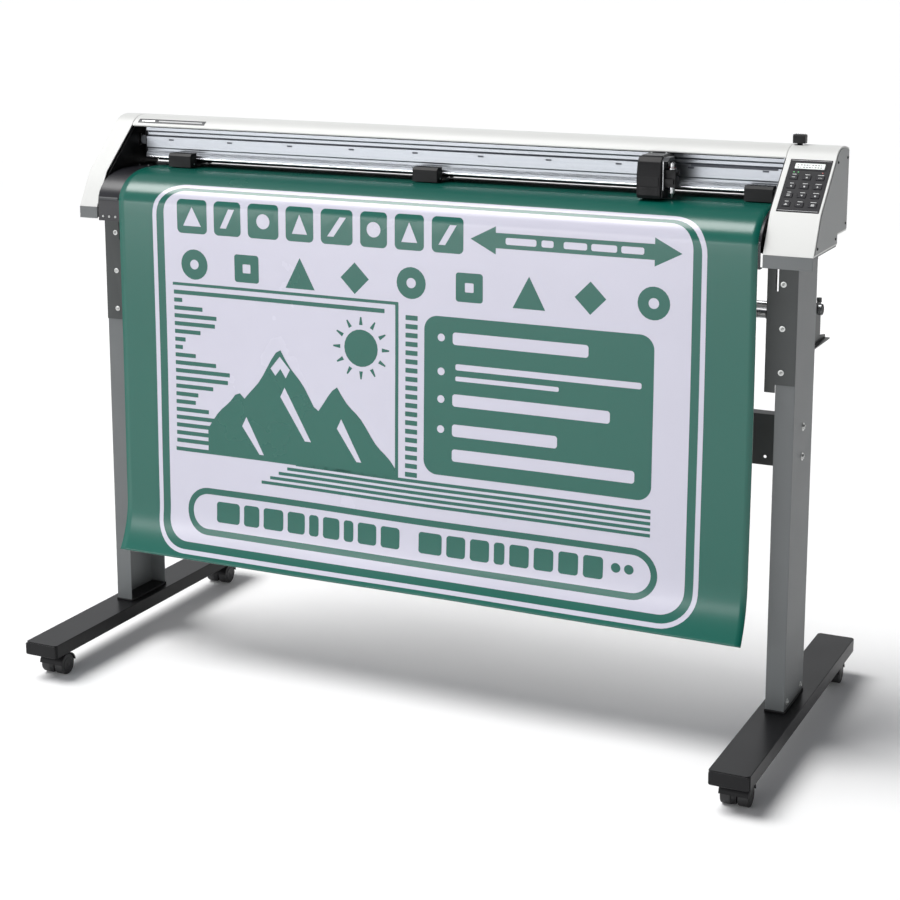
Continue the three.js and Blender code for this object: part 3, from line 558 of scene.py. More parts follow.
def print_graphics(looks):
    green, pale = looks["vinyl"], looks["liner"]
    first, second, third = 0.14 * MM, 0.28 * MM, 0.42 * MM
    f, p, b, c, q = FRAME, PANEL, BOX, PICTURE, PILL
    ring = [round_box(f["left"], f["right"], f["low"], f["high"], f["radius"]),
            round_box(f["left"] + f["line"], f["right"] - f["line"], f["low"] + f["line"],
                      f["high"] - f["line"], f["radius"] - f["line"])]
    pieces = [
        print_on_sheet("print_frame", ring, first, pale),
        print_on_sheet("print_panel", [round_box(p["left"], p["right"], p["low"], p["high"], p["radius"])],
                       first, pale),
        print_on_sheet("print_heading", heading_blocks(), second, green),
        print_on_sheet("print_shapes", shape_row(), second, green),
        print_on_sheet("print_arrow", [double_arrow()], second, green),
        print_on_sheet("print_box", [round_box(b["left"], b["right"], b["low"], b["high"], b["radius"])],
                       second, green),
    ]
    arrow_bars = bars(((0.19, 0.252), (0.262, 0.286), (0.306, 0.352), (0.36, 0.41), (0.418, 0.462)),
                      0.9215, 0.9345, 0.004)
    pieces.append(print_on_sheet("print_arrow_bars", arrow_bars, third, pale))

    lines = bars(((0.082, 0.358),), 0.722, 0.746, 0.006) + bars(((0.088, 0.462),), 0.673, 0.685, 0.004)
    lines += bars(((0.088, 0.30),), 0.652, 0.661, 0.003) + bars(((0.082, 0.402),), 0.602, 0.626, 0.006)
    lines += bars(((0.082, 0.298),), 0.543, 0.567, 0.006) + bars(((0.082, 0.452),), 0.494, 0.518, 0.006)
    dots = [disc(0.058, h, 0.0075) for h in (0.734, 0.668, 0.614, 0.555)]
    pieces.append(print_on_sheet("print_list", lines + dots, third, pale))

    stripes = []
    for i in range(20):
        low = c["low"] + 0.006 + i * 0.0163
        end = -0.43 + 0.05 * math.sin(i * 0.9) - 0.004 * i if i < 19 else c["right"] - 0.03
        stripes.append(round_box(c["left"], end, low, low + 0.0085, 0.001))
    border = [round_box(c["left"] - 0.002, c["right"], c["low"] - 0.012, c["high"] + 0.012, 0.002),
              round_box(c["left"] - 0.002 + 0.0, c["right"] - 0.007, c["low"] - 0.004, c["high"] + 0.006, 0.002)]
    pieces.append(print_on_sheet("print_border", border, second, green))
    hills = ridge_line(-0.47, c["right"] - 0.007, c["low"] - 0.004,
                       ((-0.30, 0.215, 0.155), (-0.17, 0.15, 0.13), (-0.40, 0.12, 0.1)))
    snow = [(-0.30, 0.662), (-0.322, 0.636), (-0.311, 0.622), (-0.299, 0.637), (-0.287, 0.619), (-0.277, 0.637)]
    sun = disc(-0.115, 0.697, 0.037)
    rays = []
    for i in range(12):
        a = 2 * math.pi * i / 12
        u, v = Vector((math.cos(a), math.sin(a))), Vector((-math.sin(a), math.cos(a)))
        at = Vector((-0.115, 0.697))
        rays.append([tuple(at + u * 0.046 - v * 0.004), tuple(at + u * 0.062 - v * 0.0015),
                     tuple(at + u * 0.062 + v * 0.0015), tuple(at + u * 0.046 + v * 0.004)])
    pieces.append(print_on_sheet("print_stripes", stripes, second, green))
    pieces.append(print_on_sheet("print_hills", [hills, snow], third, green))
    pieces.append(print_on_sheet("print_sun", [sun] + rays, second, green))
    for k, (px, top, run) in enumerate(((-0.30, 0.60, 0.07), (-0.17, 0.55, 0.055), (-0.39, 0.53, 0.05))):
        slopes = [[(px + 0.01, top), (px + run, top - 1.5 * run), (px + run * 0.8, top - 1.5 * run), (px, top - 0.02)]]
        pieces.append(print_on_sheet(f"print_slope_{k + 1}", slopes, third + first, pale))

    column = [round_box(-0.018, 0.008, 0.452 + i * 0.0172, 0.452 + i * 0.0172 + 0.0095, 0.001) for i in range(19)]
    pieces.append(print_on_sheet("print_column", column, second, green))
    under = [round_box(-0.266 - 0.02 * i, 0.485, 0.448 - 0.0115 * i - 0.0065, 0.448 - 0.0115 * i, 0.0008)
             for i in range(5)]
    pieces.append(print_on_sheet("print_underlines", under, second, green))
    half = (q["high"] - q["low"]) / 2
    pill = [round_box(q["left"], q["right"], q["low"], q["high"], half),
            round_box(q["left"] + q["line"], q["right"] - q["line"], q["low"] + q["line"],
                      q["high"] - q["line"], half - q["line"])]
    pieces.append(print_on_sheet("print_pill", pill, second, green))
    words = bars(((-0.452, -0.398), (-0.388, -0.352), (-0.342, -0.296), (-0.286, -0.246), (-0.236, -0.214),
                  (-0.204, -0.166), (-0.156, -0.134), (-0.124, -0.082), (-0.072, -0.03), (0.012, 0.062),
                  (0.072, 0.112), (0.122, 0.162), (0.172, 0.194), (0.204, 0.244), (0.254, 0.294),
                  (0.304, 0.344), (0.354, 0.394)), 0.301, 0.345, 0.007)
    marks = [disc(0.419, 0.328, 0.0095), disc(0.445, 0.328, 0.0095)]
    pieces.append(print_on_sheet("print_words", words + marks, second, green))
    return pieces


# ---- shaped pieces ----

def rounded(name, shape, material, body, bevel):
    """Finishes a bmesh: its sharp edges are rounded, and it rides on its body."""
    bmesh.ops.remove_doubles(shape, verts=shape.verts[:], dist=1e-7)
    bmesh.ops.recalc_face_normals(shape, faces=shape.faces[:])
    if bevel:
        sharp = [e for e in shape.edges if len(e.link_faces) == 2 and e.calc_face_angle() > math.radians(35)]
        bmesh.ops.bevel(shape, geom=sharp, offset=bevel, segments=2, profile=0.6, affect="EDGES",
                        clamp_overlap=True)
    mesh = bpy.data.meshes.new(name)
    shape.to_mesh(mesh)
    shape.free()
    mesh.shade_smooth()
    mesh.materials.append(material)
    obj = link(name, mesh)
    corners = obj.modifiers.new("corners", "WEIGHTED_NORMAL")
    corners.keep_sharp = True
    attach(obj, body)
    return obj


def prism(name, points, axis, start, depth, material, body="machine", bevel=0.0, place=None):
    """One outline drawn straight along an axis. place turns and moves it from its own frame."""
    turn = {"x": lambda a, b, c: (c, a, b), "y": lambda a, b, c: (a, c, b), "z": lambda a, b, c: (a, b, c)}[axis]
    shape = bmesh.new()
    rings = [[shape.verts.new(turn(a, b, start + d)) for a, b in points] for d in (0, depth)]
    count = len(points)
    for i in range(count):
        j = (i + 1) % count
        shape.faces.new((rings[0][i], rings[0][j], rings[1][j], rings[1][i]))
    shape.faces.new(rings[0][::-1])
    shape.faces.new(rings[1])
    if place:
        shape.transform(place)
    return rounded(name, shape, material, body, bevel)


def lathe(name, profile, axis, centre, material, body="machine", sides=32):
    """A turned piece. The profile is (radius, distance along the axis) pairs, round closed on itself."""
    shape = bmesh.new()
    rings = []
    for i in range(sides):
        a = 2 * math.pi * i / sides
        ring = []
        for r, along in profile:
            u, v = r * math.cos(a), r * math.sin(a)
            point = {"x": (along, u, v), "y": (u, along, v), "z": (u, v, along)}[axis]
            ring.append(shape.verts.new(Vector(point) + Vector(centre)))
        rings.append(ring)
    for i in range(sides):
        one, two = rings[i], rings[(i + 1) % sides]
        for k in range(len(profile) - 1):
            shape.faces.new((one[k], two[k], two[k + 1], one[k + 1]))
    bmesh.ops.remove_doubles(shape, verts=shape.verts[:], dist=1e-7)
    return rounded(name, shape, material, body, 0.0)


def bolt(name, centre, axis, way, radius, material, body="machine"):
    """A button head with a socket, that stands on the surface at its centre."""
    tall = 0.62 * radius * way
    profile = [(0, 0.35 * tall), (0.45 * radius, 0.35 * tall), (0.5 * radius, 0.95 * tall),
               (0.72 * radius, tall), (0.92 * radius, 0.7 * tall), (radius, 0.25 * tall), (radius, 0)]
    return lathe(name, profile, axis, centre, material, body, 24)


def washer_bolt(name, centre, axis, way, radius, looks, body="machine"):
    thick = 0.8 * MM * way
    ring = [(0.6 * radius, thick), (1.55 * radius, thick), (1.7 * radius, 0.6 * thick), (1.7 * radius, 0)]
    lathe(name + "_washer", ring, axis, centre, looks["zinc"], body, 24)
    shift = Vector([thick if a == axis else 0 for a in "xyz"])
    bolt(name, Vector(centre) + shift, axis, way, radius, looks["zinc"], body)


def mid(node):
    low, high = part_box(node)
    return (low + high) / 2


def coil(name, centre, radius, height, turns, wire, material, body):
    """A small compression spring that stands along Z."""
    shape = bmesh.new()
    steps, around = turns * 16, 6
    rings = []
    for i in range(steps + 1):
        a = 2 * math.pi * turns * i / steps
        out = Vector((math.cos(a), math.sin(a), 0))
        core = Vector(centre) + out * radius + Vector((0, 0, height * i / steps))
        rings.append([shape.verts.new(core + wire * (out * math.cos(b) + Vector((0, 0, math.sin(b)))))
                      for b in (2 * math.pi * k / around for k in range(around))])
    for one, two in zip(rings, rings[1:]):
        for k in range(around):
            shape.faces.new((one[k], one[(k + 1) % around], two[(k + 1) % around], two[k]))
    shape.faces.new(rings[0][::-1])
    shape.faces.new(rings[-1])
    return rounded(name, shape, material, body, 0.0)


# ---- covers ----

COVER = {"front": -0.116, "bottom": 0.9368, "step": 0.0465, "rear_bottom": 0.955, "back": 0.113}
SLOPE_LOW = Vector((-0.077, 1.007))
SLOPE_HIGH = Vector((0.018, 1.094))
CROWN = (SLOPE_HIGH, Vector((0.030, 1.113)), Vector((0.062, 1.121)), Vector((COVER["back"], 1.106)))


def crown_point(t):
    a, b, c, d = CROWN
    s = 1 - t
    return a * s ** 3 + b * 3 * s * s * t + c * 3 * s * t * t + d * t ** 3


def cover_outline():
    front = [(COVER["front"], COVER["bottom"]), (COVER["step"], COVER["bottom"]),
             (COVER["step"], COVER["rear_bottom"]), (COVER["back"], COVER["rear_bottom"])]
    crown = [tuple(crown_point(i / 12)) for i in range(12, -1, -1)]
    return front + crown + [tuple(SLOPE_LOW)]


def inset(points, distance):
    """The outline moved inwards, for one that runs anticlockwise."""
    result = []
    for i, point in enumerate(points):
        here = Vector(point)
        before, after = here - Vector(points[i - 1]), Vector(points[(i + 1) % len(points)]) - here
        n0 = Vector((-before.y, before.x)).normalized()
        n1 = Vector((-after.y, after.x)).normalized()
        result.append(tuple(here + (n0 + n1) * distance / (1 + n0.dot(n1))))
    return result


def crown_strip(name, x0, x1, t0, t1, lift, material):
    """A thin label that follows the crown of the top cover."""
    points, back = [], []
    for i in range(7):
        t = t0 + (t1 - t0) * i / 6
        way = crown_point(t + 0.01) - crown_point(t - 0.01)
        out = Vector((-way.y, way.x)).normalized()
        points.append(tuple(crown_point(t) + out * lift))
        back.append(tuple(crown_point(t) - out * 0.1 * MM))
    prism(name, points + back[::-1], "x", x0, x1 - x0, material)


def cover_details(looks):
    for side, sign in SIDES.items():
        outer = sign * 0.7705
        # These end panels carry painted shade: their grey is partly own colour and partly darkened for the shade that
        # falls on the machine's ends.
        panel = inset(cover_outline(), 3.5 * MM)
        prism(f"end_shade_panel_{side}", panel, "x", outer - sign * 0.2 * MM, sign * 1.4 * MM,
              looks["end_shade_grey"], bevel=0.5 * MM)
        skin = outer + sign * 1.2 * MM
        for k, (y, z) in enumerate(((-0.096, 0.950), (0.030, 0.950), (0.098, 0.970), (0.098, 1.090),
                                    (0.030, 1.088))):
            bolt(f"end_screw_{side}_{k + 1}", (skin, y, z), "x", sign, 2.6 * MM, looks["black_screw"])
    low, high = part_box("top_cover")
    crown_strip("cover_label", low.x + 0.012, low.x + 0.175, 0.10, 0.26, 0.25 * MM, looks["label"])
    crown_strip("cover_label_bars", low.x + 0.062, low.x + 0.168, 0.155, 0.205, 0.4 * MM, looks["pale_ink"])
    crown_strip("cover_label_mark", low.x + 0.02, low.x + 0.052, 0.15, 0.21, 0.4 * MM, looks["zinc"])
    lip = high.x - low.x - 0.01
    prism("cover_lip_seal", [(0.0192, 1.0906), (0.0207, 1.0906), (0.0207, 1.0924), (0.0192, 1.0924)], "x",
          low.x + 0.005, lip, looks["black_plastic"])


def rear_details(looks):
    """The back: louvres, two data sockets, a blank rating plate and the cover's screws."""
    back = COVER["back"]
    for i in range(9):
        z = 1.058 + i * 0.0048
        louvre = [(back - 0.2 * MM, z), (back + 1.8 * MM, z), (back + 0.9 * MM, z + 2.6 * MM),
                  (back - 0.2 * MM, z + 2.6 * MM)]
        prism(f"louvre_{i + 1}", louvre, "x", 0.700, 0.050, looks["white_plastic"],
              bevel=0.3 * MM)
    plate = round_box(-0.762, -0.736, 1.04, 1.082, 2 * MM)
    prism("rating_plate", plate, "y", back - 0.1 * MM, 0.6 * MM, looks["zinc"], bevel=0.15 * MM)
    for k in range(5):
        row = 1.047 + k * 0.0068
        prism(f"rating_bar_{k + 1}", round_box(-0.759, -0.744 + 0.0035 * (k % 3), row, row + 2 * MM, 0.5 * MM),
              "y", back + 0.45 * MM, 0.15 * MM, looks["mark"])
    for name, x, wide, tall in (("serial", -0.749, 0.0155, 0.0055), ("data", -0.749, 0.0065, 0.0055)):
        z = 0.975 if name == "serial" else 1.003
        rim = round_box(x - wide, x + wide, z - tall, z + tall, 2 * MM)
        prism(f"{name}_socket", rim, "y", back - 0.2 * MM, 1.6 * MM, looks["zinc"], bevel=0.4 * MM)
        well = round_box(x - wide + 2 * MM, x + wide - 2 * MM, z - tall + 1.6 * MM, z + tall - 1.6 * MM, 1 * MM)
        prism(f"{name}_well", well, "y", back + 1.3 * MM, 0.3 * MM, looks["black_plastic"])
    for k in range(7):
        x = -0.69 + k * 0.2275
        bolt(f"rear_screw_{k + 1}", (x, back, 1.044), "y", 1, 2.6 * MM, looks["black_screw"])


# ---- rail and cutting head ----

RAIL = {"front": 0.032, "low": 1.026, "high": 1.096, "middle": 1.064}


def rail_details(looks):
    low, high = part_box("carriage_rail")
    front, middle = RAIL["front"], RAIL["middle"]
    for k in range(10):
        x = -0.639 + k * 0.142
        prism(f"rail_mark_{k + 1}", round_box(x - 6 * MM, x + 6 * MM, middle - 1 * MM, middle + 2.4 * MM, 1 * MM),
              "y", front - 0.25 * MM, 0.4 * MM, looks["mark"])
    park = round_box(0.497, high.x - 0.014, middle + 3 * MM, middle + 7.4 * MM, 1 * MM)
    prism("rail_park_strip", park, "y", front - 0.3 * MM, 0.5 * MM, looks["mark"])
    ledge = [(front + 0.2 * MM, 1.0268), (front - 3.6 * MM, 1.0268), (front - 4.4 * MM, 1.0276),
             (front - 4.4 * MM, 1.0292), (front - 3.6 * MM, 1.03), (front + 0.2 * MM, 1.03)]
    prism("rail_lower_bead", ledge, "x", low.x + 2 * MM, high.x - low.x - 4 * MM, looks["bright_alloy"],
          bevel=0.3 * MM)
    cap = round_box(0.031, 0.0705, 1.0275, 1.0945, 3 * MM)
    prism("rail_end_cap", cap, "x", low.x - 1.2 * MM, 1.6 * MM, looks["black_plastic"], bevel=0.5 * MM)
    for k, z in enumerate((1.043, 1.083)):
        bolt(f"rail_end_screw_{k + 1}", (low.x - 1.2 * MM, 0.05, z), "x", -1, 3 * MM, looks["zinc"])


def carriage_details(looks):
    """The carriage: its snap-on hood and a shroud beside the tool with its rods and spring."""
    low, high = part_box("carriage")
    body = "carriage"
    hood = round_box(low.x + 4 * MM, high.x - 4 * MM, 1.036, 1.0535, 2.5 * MM)
    prism("carriage_hood_low", hood, "y", low.y - 1.1 * MM, 1.4 * MM, looks["black_plastic"], body,
          bevel=0.5 * MM)
    for k in range(6):
        z = 1.0205 + k * 0.0024
        prism(f"carriage_rib_{k + 1}", round_box(low.x + 6 * MM, high.x - 6 * MM, z, z + 1.2 * MM, 0.4 * MM), "y",
              low.y - 0.7 * MM, 1.2 * MM, looks["black_plastic"], body)
    top = round_box(low.x + 3.5 * MM, high.x - 3.5 * MM, low.y + 0.018, 0.015, 3 * MM)
    prism("carriage_lid", top, "z", high.z - 0.2 * MM, 1.5 * MM, looks["head_grey"], body, bevel=0.6 * MM)
    for k, (x, y) in enumerate(((low.x + 9 * MM, 0.009), (high.x - 9 * MM, 0.009))):
        bolt(f"carriage_lid_screw_{k + 1}", (x, y, high.z + 1.3 * MM), "z", 1, 2.2 * MM, looks["zinc"], body)
    edge = high.x
    shroud = [(low.y + 6 * MM, 1.0815), (low.y + 6 * MM, 1.083), (low.y + 16 * MM, 1.0885), (-4 * MM, 1.0885),
              (-4 * MM, 1.0815)]
    prism("carriage_shroud", shroud, "x", edge - 0.2 * MM, 12 * MM, looks["head_grey"], body, bevel=1 * MM)
    foot = [(-0.044, 1.0165), (-0.044, 1.0295), (-0.008, 1.0295), (-0.008, 1.0165)]
    prism("carriage_foot", foot, "x", edge - 0.2 * MM, 3 * MM, looks["black_plastic"], body, bevel=0.6 * MM)
    for k, y in enumerate((-0.0405, -0.0075)):
        rod = [(0, 1.029), (1.3 * MM, 1.029), (1.3 * MM, 1.0825), (0, 1.0825)]
        lathe(f"carriage_rod_{k + 1}", rod, "z", (edge + 2 * MM, y, 0), looks["steel"], body, 16)
        coil(f"carriage_spring_{k + 1}", (edge + 2 * MM, y, 1.0505), 2.1 * MM, 0.019, 7, 0.32 * MM,
             looks["zinc"], body)
    tool = mid("blade_holder")
    ring = [(5.6 * MM, 1.0672), (6.9 * MM, 1.0672), (7.2 * MM, 1.0679), (7.2 * MM, 1.0692), (6.9 * MM, 1.0699),
            (5.6 * MM, 1.0699)]
    lathe("holder_ring", ring, "z", (tool.x, tool.y, 0), looks["red"], "tool", 32)
    knurl = []
    for k in range(9):
        z = 1.0715 + k * 0.8 * MM
        knurl += [(5.3 * MM, z), (5.75 * MM, z + 0.4 * MM)]
    lathe("holder_knurl", [(4 * MM, 1.0712)] + knurl + [(4 * MM, 1.0789)], "z", (tool.x, tool.y, 0),
          looks["steel"], "tool", 32)
    grip = mid("tool_plunger")
    screw_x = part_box("tool_plunger")[1].x
    knob = [(0, 3.8 * MM), (2.2 * MM, 3.8 * MM), (3.4 * MM, 3 * MM), (3.7 * MM, 1.2 * MM), (2.6 * MM, 0), (0, 0)]
    lathe("tool_clamp_knob", knob, "x", (screw_x - 0.1 * MM, grip.y + 4 * MM, 1.0575), looks["black_plastic"],
          "tool", 24)


def pinch_details(looks):
    for place in UNITS:
        body = f"pinch_arm_{place}"
        low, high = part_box(f"pinch_arm_{place}")
        x = (low.x + high.x) / 2
        for k, sign in enumerate((-1, 1)):
            edge = low.x if sign < 0 else high.x
            cheek = round_box(0.0035, 0.0225, 1.0165, 1.034, 3 * MM)
            prism(f"pinch_cheek_{place}_{k + 1}", cheek, "x", edge - sign * 0.1 * MM, sign * 0.9 * MM,
                  looks["nylon"] if (place == "left" and sign < 0) else looks["black_plastic"], body,
                  bevel=0.3 * MM)
            bolt(f"pinch_pin_{place}_{k + 1}", (edge + sign * 0.8 * MM, 0.014, 1.0193), "x", sign, 2 * MM,
                 looks["steel"], body)
        for k in range(5):
            rib = x + (k - 2) * 8 * MM
            prism(f"pinch_rib_{place}_{k + 1}", round_box(rib - 1.2 * MM, rib + 1.2 * MM, 0.008, 0.023, 1 * MM),
                  "z", high.z - 0.2 * MM, 0.9 * MM, looks["black_plastic"], body, bevel=0.25 * MM)
        roller = mid(f"pinch_roller_{place}")
        for k in range(9):
            along = roller.x + (k - 4) * 4.2 * MM
            band = [(7.6 * MM, -1 * MM), (8.25 * MM, -0.8 * MM), (8.25 * MM, 0.8 * MM), (7.6 * MM, 1 * MM)]
            lathe(f"pinch_band_{place}_{k + 1}", band, "x", (along, roller.y, roller.z), looks["wheel_plastic"],
                  f"pinch_roller_{place}", 24)


# ---- control panel ----

SLOPE = math.atan2(SLOPE_HIGH.y - SLOPE_LOW.y, SLOPE_HIGH.x - SLOPE_LOW.x)
PANEL_X = 0.728
PANEL_FRAME = (Matrix.Translation((PANEL_X, (SLOPE_LOW.x + SLOPE_HIGH.x) / 2, (SLOPE_LOW.y + SLOPE_HIGH.y) / 2))
               @ Matrix.Rotation(SLOPE, 4, "X"))


def height_over_panel(node):
    inverse = PANEL_FRAME.inverted()
    return max((inverse @ v.co).z for v in NODES[node].data.vertices)


def on_panel(name, points, base, thick, material, body="machine", bevel=0.0):
    """A flat piece on the sloping panel, drawn in the panel's own frame: across, up the slope, out."""
    return prism(name, points, "z", base, thick, material, body, bevel, PANEL_FRAME)


def turned_points(points, quarter):
    for _ in range(quarter):
        points = [(-b, a) for a, b in points]
    return points


def key_symbols():
    """Generic marks for the keys, each a list of outlines round the key's middle."""
    wedge = [(-2.2 * MM, -1.4 * MM), (2.2 * MM, -1.4 * MM), (0, 2 * MM)]
    bar = round_box(-3 * MM, 3 * MM, -0.6 * MM, 0.6 * MM, 0.3 * MM)
    low_bar = [(a, b - 1.6 * MM) for a, b in bar]
    high_bar = [(a, b + 1.6 * MM) for a, b in bar]
    dots = [disc(x * MM, 0, 0.75 * MM) for x in (-2.6, 0, 2.6)]
    block = round_box(-1.6 * MM, 1.6 * MM, -1.6 * MM, 1.6 * MM, 0.4 * MM)
    return [[bar], [wedge], dots, [turned_points(wedge, 1)], [block], [turned_points(wedge, 3)],
            [low_bar, high_bar], [turned_points(wedge, 2)], [disc(0, 0, 1.7 * MM)],
            [low_bar, [(a, b + 0.6 * MM) for a, b in wedge]], dots[:2], [bar, high_bar, low_bar]]


def panel_details(looks):
    skin = height_over_panel("control_panel")
    half, tall = 0.036, 0.0585
    screen = round_box(-0.027, 0.027, 0.0385, 0.0515, 1.5 * MM)
    on_panel("display_frame", round_box(-0.0305, 0.0305, 0.0352, 0.0548, 2.5 * MM), skin - 0.1 * MM, 0.7 * MM,
             looks["panel_plastic"], bevel=0.3 * MM)
    on_panel("display_glass", screen, skin + 0.5 * MM, 0.3 * MM, looks["glass"], bevel=0.1 * MM)
    for row in range(2):
        for k in range(9):
            x = -0.0225 + k * 0.0052
            up = 0.0472 - row * 0.0052
            wide = (3.4 if (k * 3 + row) % 4 else 1.6) * MM
            on_panel(f"display_cell_{row + 1}_{k + 1}", round_box(x, x + wide, up - 1.2 * MM, up + 1.2 * MM, 0.3 * MM),
                     skin + 0.75 * MM, 0.1 * MM, looks["screen_ink"])
    rim = [(-half, tall), (half, tall)]
    for k, (a, b) in enumerate(rim):
        up = tall if k == 0 else -tall
        on_panel(f"panel_line_{k + 1}", round_box(-half, half, up - 0.35 * MM, up + 0.35 * MM, 0.3 * MM),
                 skin - 0.05 * MM, 0.15 * MM, looks["pale_ink"])
    for k, x in enumerate((-0.026, -0.018, 0.026)):
        lathe_points = disc(x, 0.0305, 1.3 * MM)
        on_panel(f"panel_lamp_{k + 1}", lathe_points, skin - 0.05 * MM, 0.7 * MM,
                 looks["red"] if k == 2 else looks["lamp_green"], bevel=0.3 * MM)
    inverse = PANEL_FRAME.inverted()
    for k, outlines in enumerate(key_symbols()):
        key = f"key_{k + 1:02d}"
        middle = inverse @ mid(key)
        top = height_over_panel(key)
        for n, points in enumerate(outlines):
            moved = [(a + middle.x, b + middle.y) for a, b in points]
            on_panel(f"{key}_mark_{n + 1}", moved, top - 0.05 * MM, 0.17 * MM, looks["pale_ink"], key)
        caption = middle.y + 6.9 * MM
        wide = (3.5 + k % 3) * MM
        on_panel(f"caption_{k + 1}", round_box(middle.x - wide, middle.x + wide, caption, caption + 1.3 * MM, 0.5 * MM),
                 skin - 0.05 * MM, 0.15 * MM, looks["pale_ink"])


# ---- platen and stand ----

def platen_details(looks):
    """The apron's ridge and the fixings that show beside the sheet, and a black strip of painted shade behind the
    sheet, under the rail.
    """
    low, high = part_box("platen")
    front = low.y
    for side, (x0, x1) in {"left": (low.x + 1 * MM, -SHEET["half"] - 3 * MM),
                           "right": (SHEET["half"] + 0.5 * MM, high.x - 0.5 * MM)}.items():
        ridge = [(front + 0.4 * MM, 0.953), (front - 0.8 * MM, 0.9545), (front - 0.8 * MM, 0.9575),
                 (front + 0.4 * MM, 0.959)]
        prism(f"apron_ridge_{side}", ridge, "x", x0, x1 - x0, looks["head_grey"], bevel=0.2 * MM)
    # A black strip across the gap behind the sheet, under the rail: painted shade, a dark sheet that keeps the gap dark
    # where it would show the backdrop.
    shade_baffle = [(0.1055, 1.0125), (0.1070, 1.0118), (0.1085, 1.0125), (0.1085, 1.034), (0.1055, 1.034)]
    prism("rear_shade_baffle", shade_baffle, "x", low.x + 1 * MM, high.x - low.x - 2 * MM, looks["black_plastic"],
          bevel=0.3 * MM)
    for k in range(3):
        x = low.x + (11 + 15 * k) * MM
        bolt(f"apron_screw_{k + 1}", (x, front, 0.919), "y", -1, 2.4 * MM, looks["zinc"])
    for k, x in enumerate((low.x + 12 * MM, low.x + 34 * MM)):
        bolt(f"platen_screw_{k + 1}", (x, 0.02, high.z), "z", 1, 2.4 * MM, looks["zinc"])


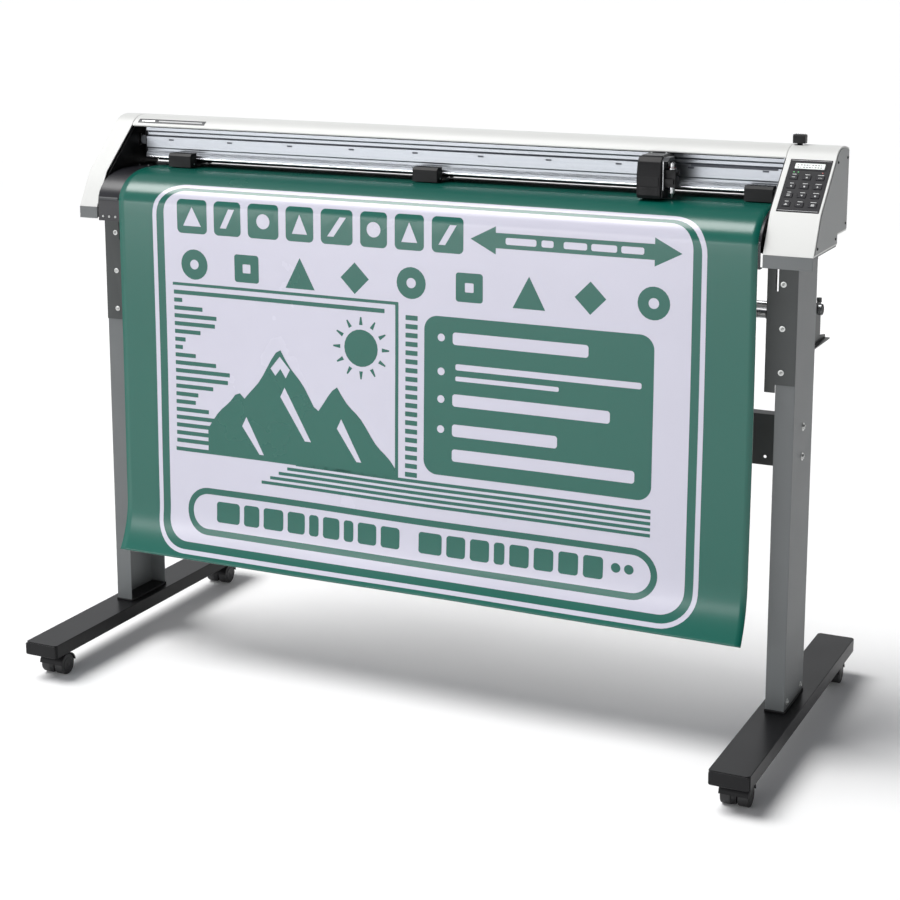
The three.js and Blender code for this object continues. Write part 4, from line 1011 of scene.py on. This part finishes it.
def stand_details(looks):
    for side, sign in SIDES.items():
        low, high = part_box(f"foot_{side}")
        for end, way in (("front", -1), ("rear", 1)):
            face = low.y if way < 0 else high.y
            cap = round_box(low.x + 1.5 * MM, high.x - 1.5 * MM, low.z + 1.5 * MM, high.z - 1.5 * MM, 3 * MM)
            prism(f"foot_cap_{end}_{side}", cap, "y", face - way * 0.3 * MM, way * 2.3 * MM,
                  looks["black_plastic"], bevel=0.9 * MM)
            for k, turn in enumerate(("inner", "outer")):
                edge = -1 if k == 0 else 1
                wheel_low, wheel_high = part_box(f"caster_wheel_{end}_{side}")
                hub_x = wheel_low.x if edge < 0 else wheel_high.x
                middle = (wheel_low + wheel_high) / 2
                hub = [(0, 0.9 * MM), (3 * MM, 0.9 * MM), (4.2 * MM, 0.35 * MM), (11 * MM, 0.35 * MM),
                       (12.5 * MM, 0.7 * MM), (14 * MM, 0.7 * MM), (14.6 * MM, 0)]
                lathe(f"caster_hub_{end}_{side}_{turn}", [(r, edge * a) for r, a in hub], "x",
                      (hub_x, middle.y, middle.z), looks["hub_plastic"], f"wheels_{end}_{side}", 32)
        leg_low, leg_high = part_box(f"leg_{side}")
        outer = leg_high.x if sign > 0 else leg_low.x
        inner = leg_low.x if sign > 0 else leg_high.x
        for k, z in enumerate((0.552, 0.608)):
            washer_bolt(f"beam_bolt_{side}_{k + 1}", (outer, -0.010, z), "x", sign, 4.5 * MM, looks)
        for k, y in enumerate((-0.058, 0.034)):
            washer_bolt(f"leg_foot_bolt_{side}_{k + 1}", (outer, y, 0.096), "x", sign, 3.6 * MM, looks)
        shoe = [(leg_low.x - 1.4 * MM, leg_low.y - 1.4 * MM), (leg_high.x + 1.4 * MM, leg_low.y - 1.4 * MM),
                (leg_high.x + 1.4 * MM, leg_high.y + 1.4 * MM), (leg_low.x - 1.4 * MM, leg_high.y + 1.4 * MM)]
        prism(f"leg_shoe_{side}", shoe, "z", high.z - 0.1 * MM, 4.5 * MM, looks["black_plastic"],
              bevel=1.1 * MM)
        plate_low, plate_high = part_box(f"leg_bracket_{side}")
        for k, z in enumerate((0.72, 0.80, 0.88)):
            x = (leg_low.x + leg_high.x) / 2 - sign * 0.008
            washer_bolt(f"bracket_bolt_{side}_{k + 1}", (x, plate_low.y, z), "y", -1, 3.2 * MM, looks)
        arm_low, arm_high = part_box(f"stock_bracket_{side}")
        for k, z in enumerate((0.742, 0.792)):
            x = leg_low.x + 5.5 * MM if sign > 0 else leg_high.x - 5.5 * MM
            x = sign * 0.7275
            washer_bolt(f"stock_bolt_{side}_{k + 1}", (x, arm_low.y + 2.5 * MM, z), "y", 1, 2.8 * MM, looks)
        for end in ENDS:
            shaft = mid(f"stock_shaft_{end}")
            edge = sign * 0.719
            face = [(0, 0.4), (3.5, 0.4), (4.2, 1.0), (8.2, 1.0), (9.6, 0.6), (10.4, 0.0)]
            lathe(f"shaft_cap_{end}_{side}", [(r * MM, a * MM * sign) for r, a in face], "x",
                  (edge, shaft.y, shaft.z), looks["black_plastic"], f"stock_shaft_{end}", 32)
    for end in ENDS:
        shaft = mid(f"stock_shaft_{end}")
        for k in range(4):
            x = -0.645 + k * 0.43
            band = [(7.9, -9), (9.1, -8.2), (9.1, 8.2), (7.9, 9)]
            lathe(f"shaft_band_{end}_{k + 1}", [(r * MM, a * MM) for r, a in band], "x", (x, shaft.y, shaft.z),
                  looks["wheel_plastic"], f"stock_shaft_{end}", 32)


def lever_details(looks):
    low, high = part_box("set_lever")
    for k in range(5):
        x = 0.692 + (k - 2) * 4 * MM
        prism(f"lever_rib_{k + 1}", round_box(x - 0.8 * MM, x + 0.8 * MM, 0.0575, 0.0678, 0.7 * MM), "z",
              high.z - 0.2 * MM, 0.7 * MM, looks["black_plastic"], "set_lever", bevel=0.2 * MM)


make_camera()
make_world()
make_floor()
add_high_light()
add_panel_light("front_box", (-1.15, -3.1, 0.82), (-0.1, -0.1, 0.5), 3.6, 0.42, 5.0)
add_panel_light("back_box", (-2.2, 4.6, 2.9), (-0.2, 0.0, 0.9), 6.0, 2.2, 0.6)

LOOKS = make_materials()
finish_cad_nodes(LOOKS)
film = make_sheet(LOOKS)
graphics = print_graphics(LOOKS)

cover_details(LOOKS)
rear_details(LOOKS)
rail_details(LOOKS)
carriage_details(LOOKS)
pinch_details(LOOKS)
panel_details(LOOKS)
platen_details(LOOKS)
stand_details(LOOKS)
lever_details(LOOKS)

scene = bpy.context.scene
scene.view_settings.view_transform = "Standard"
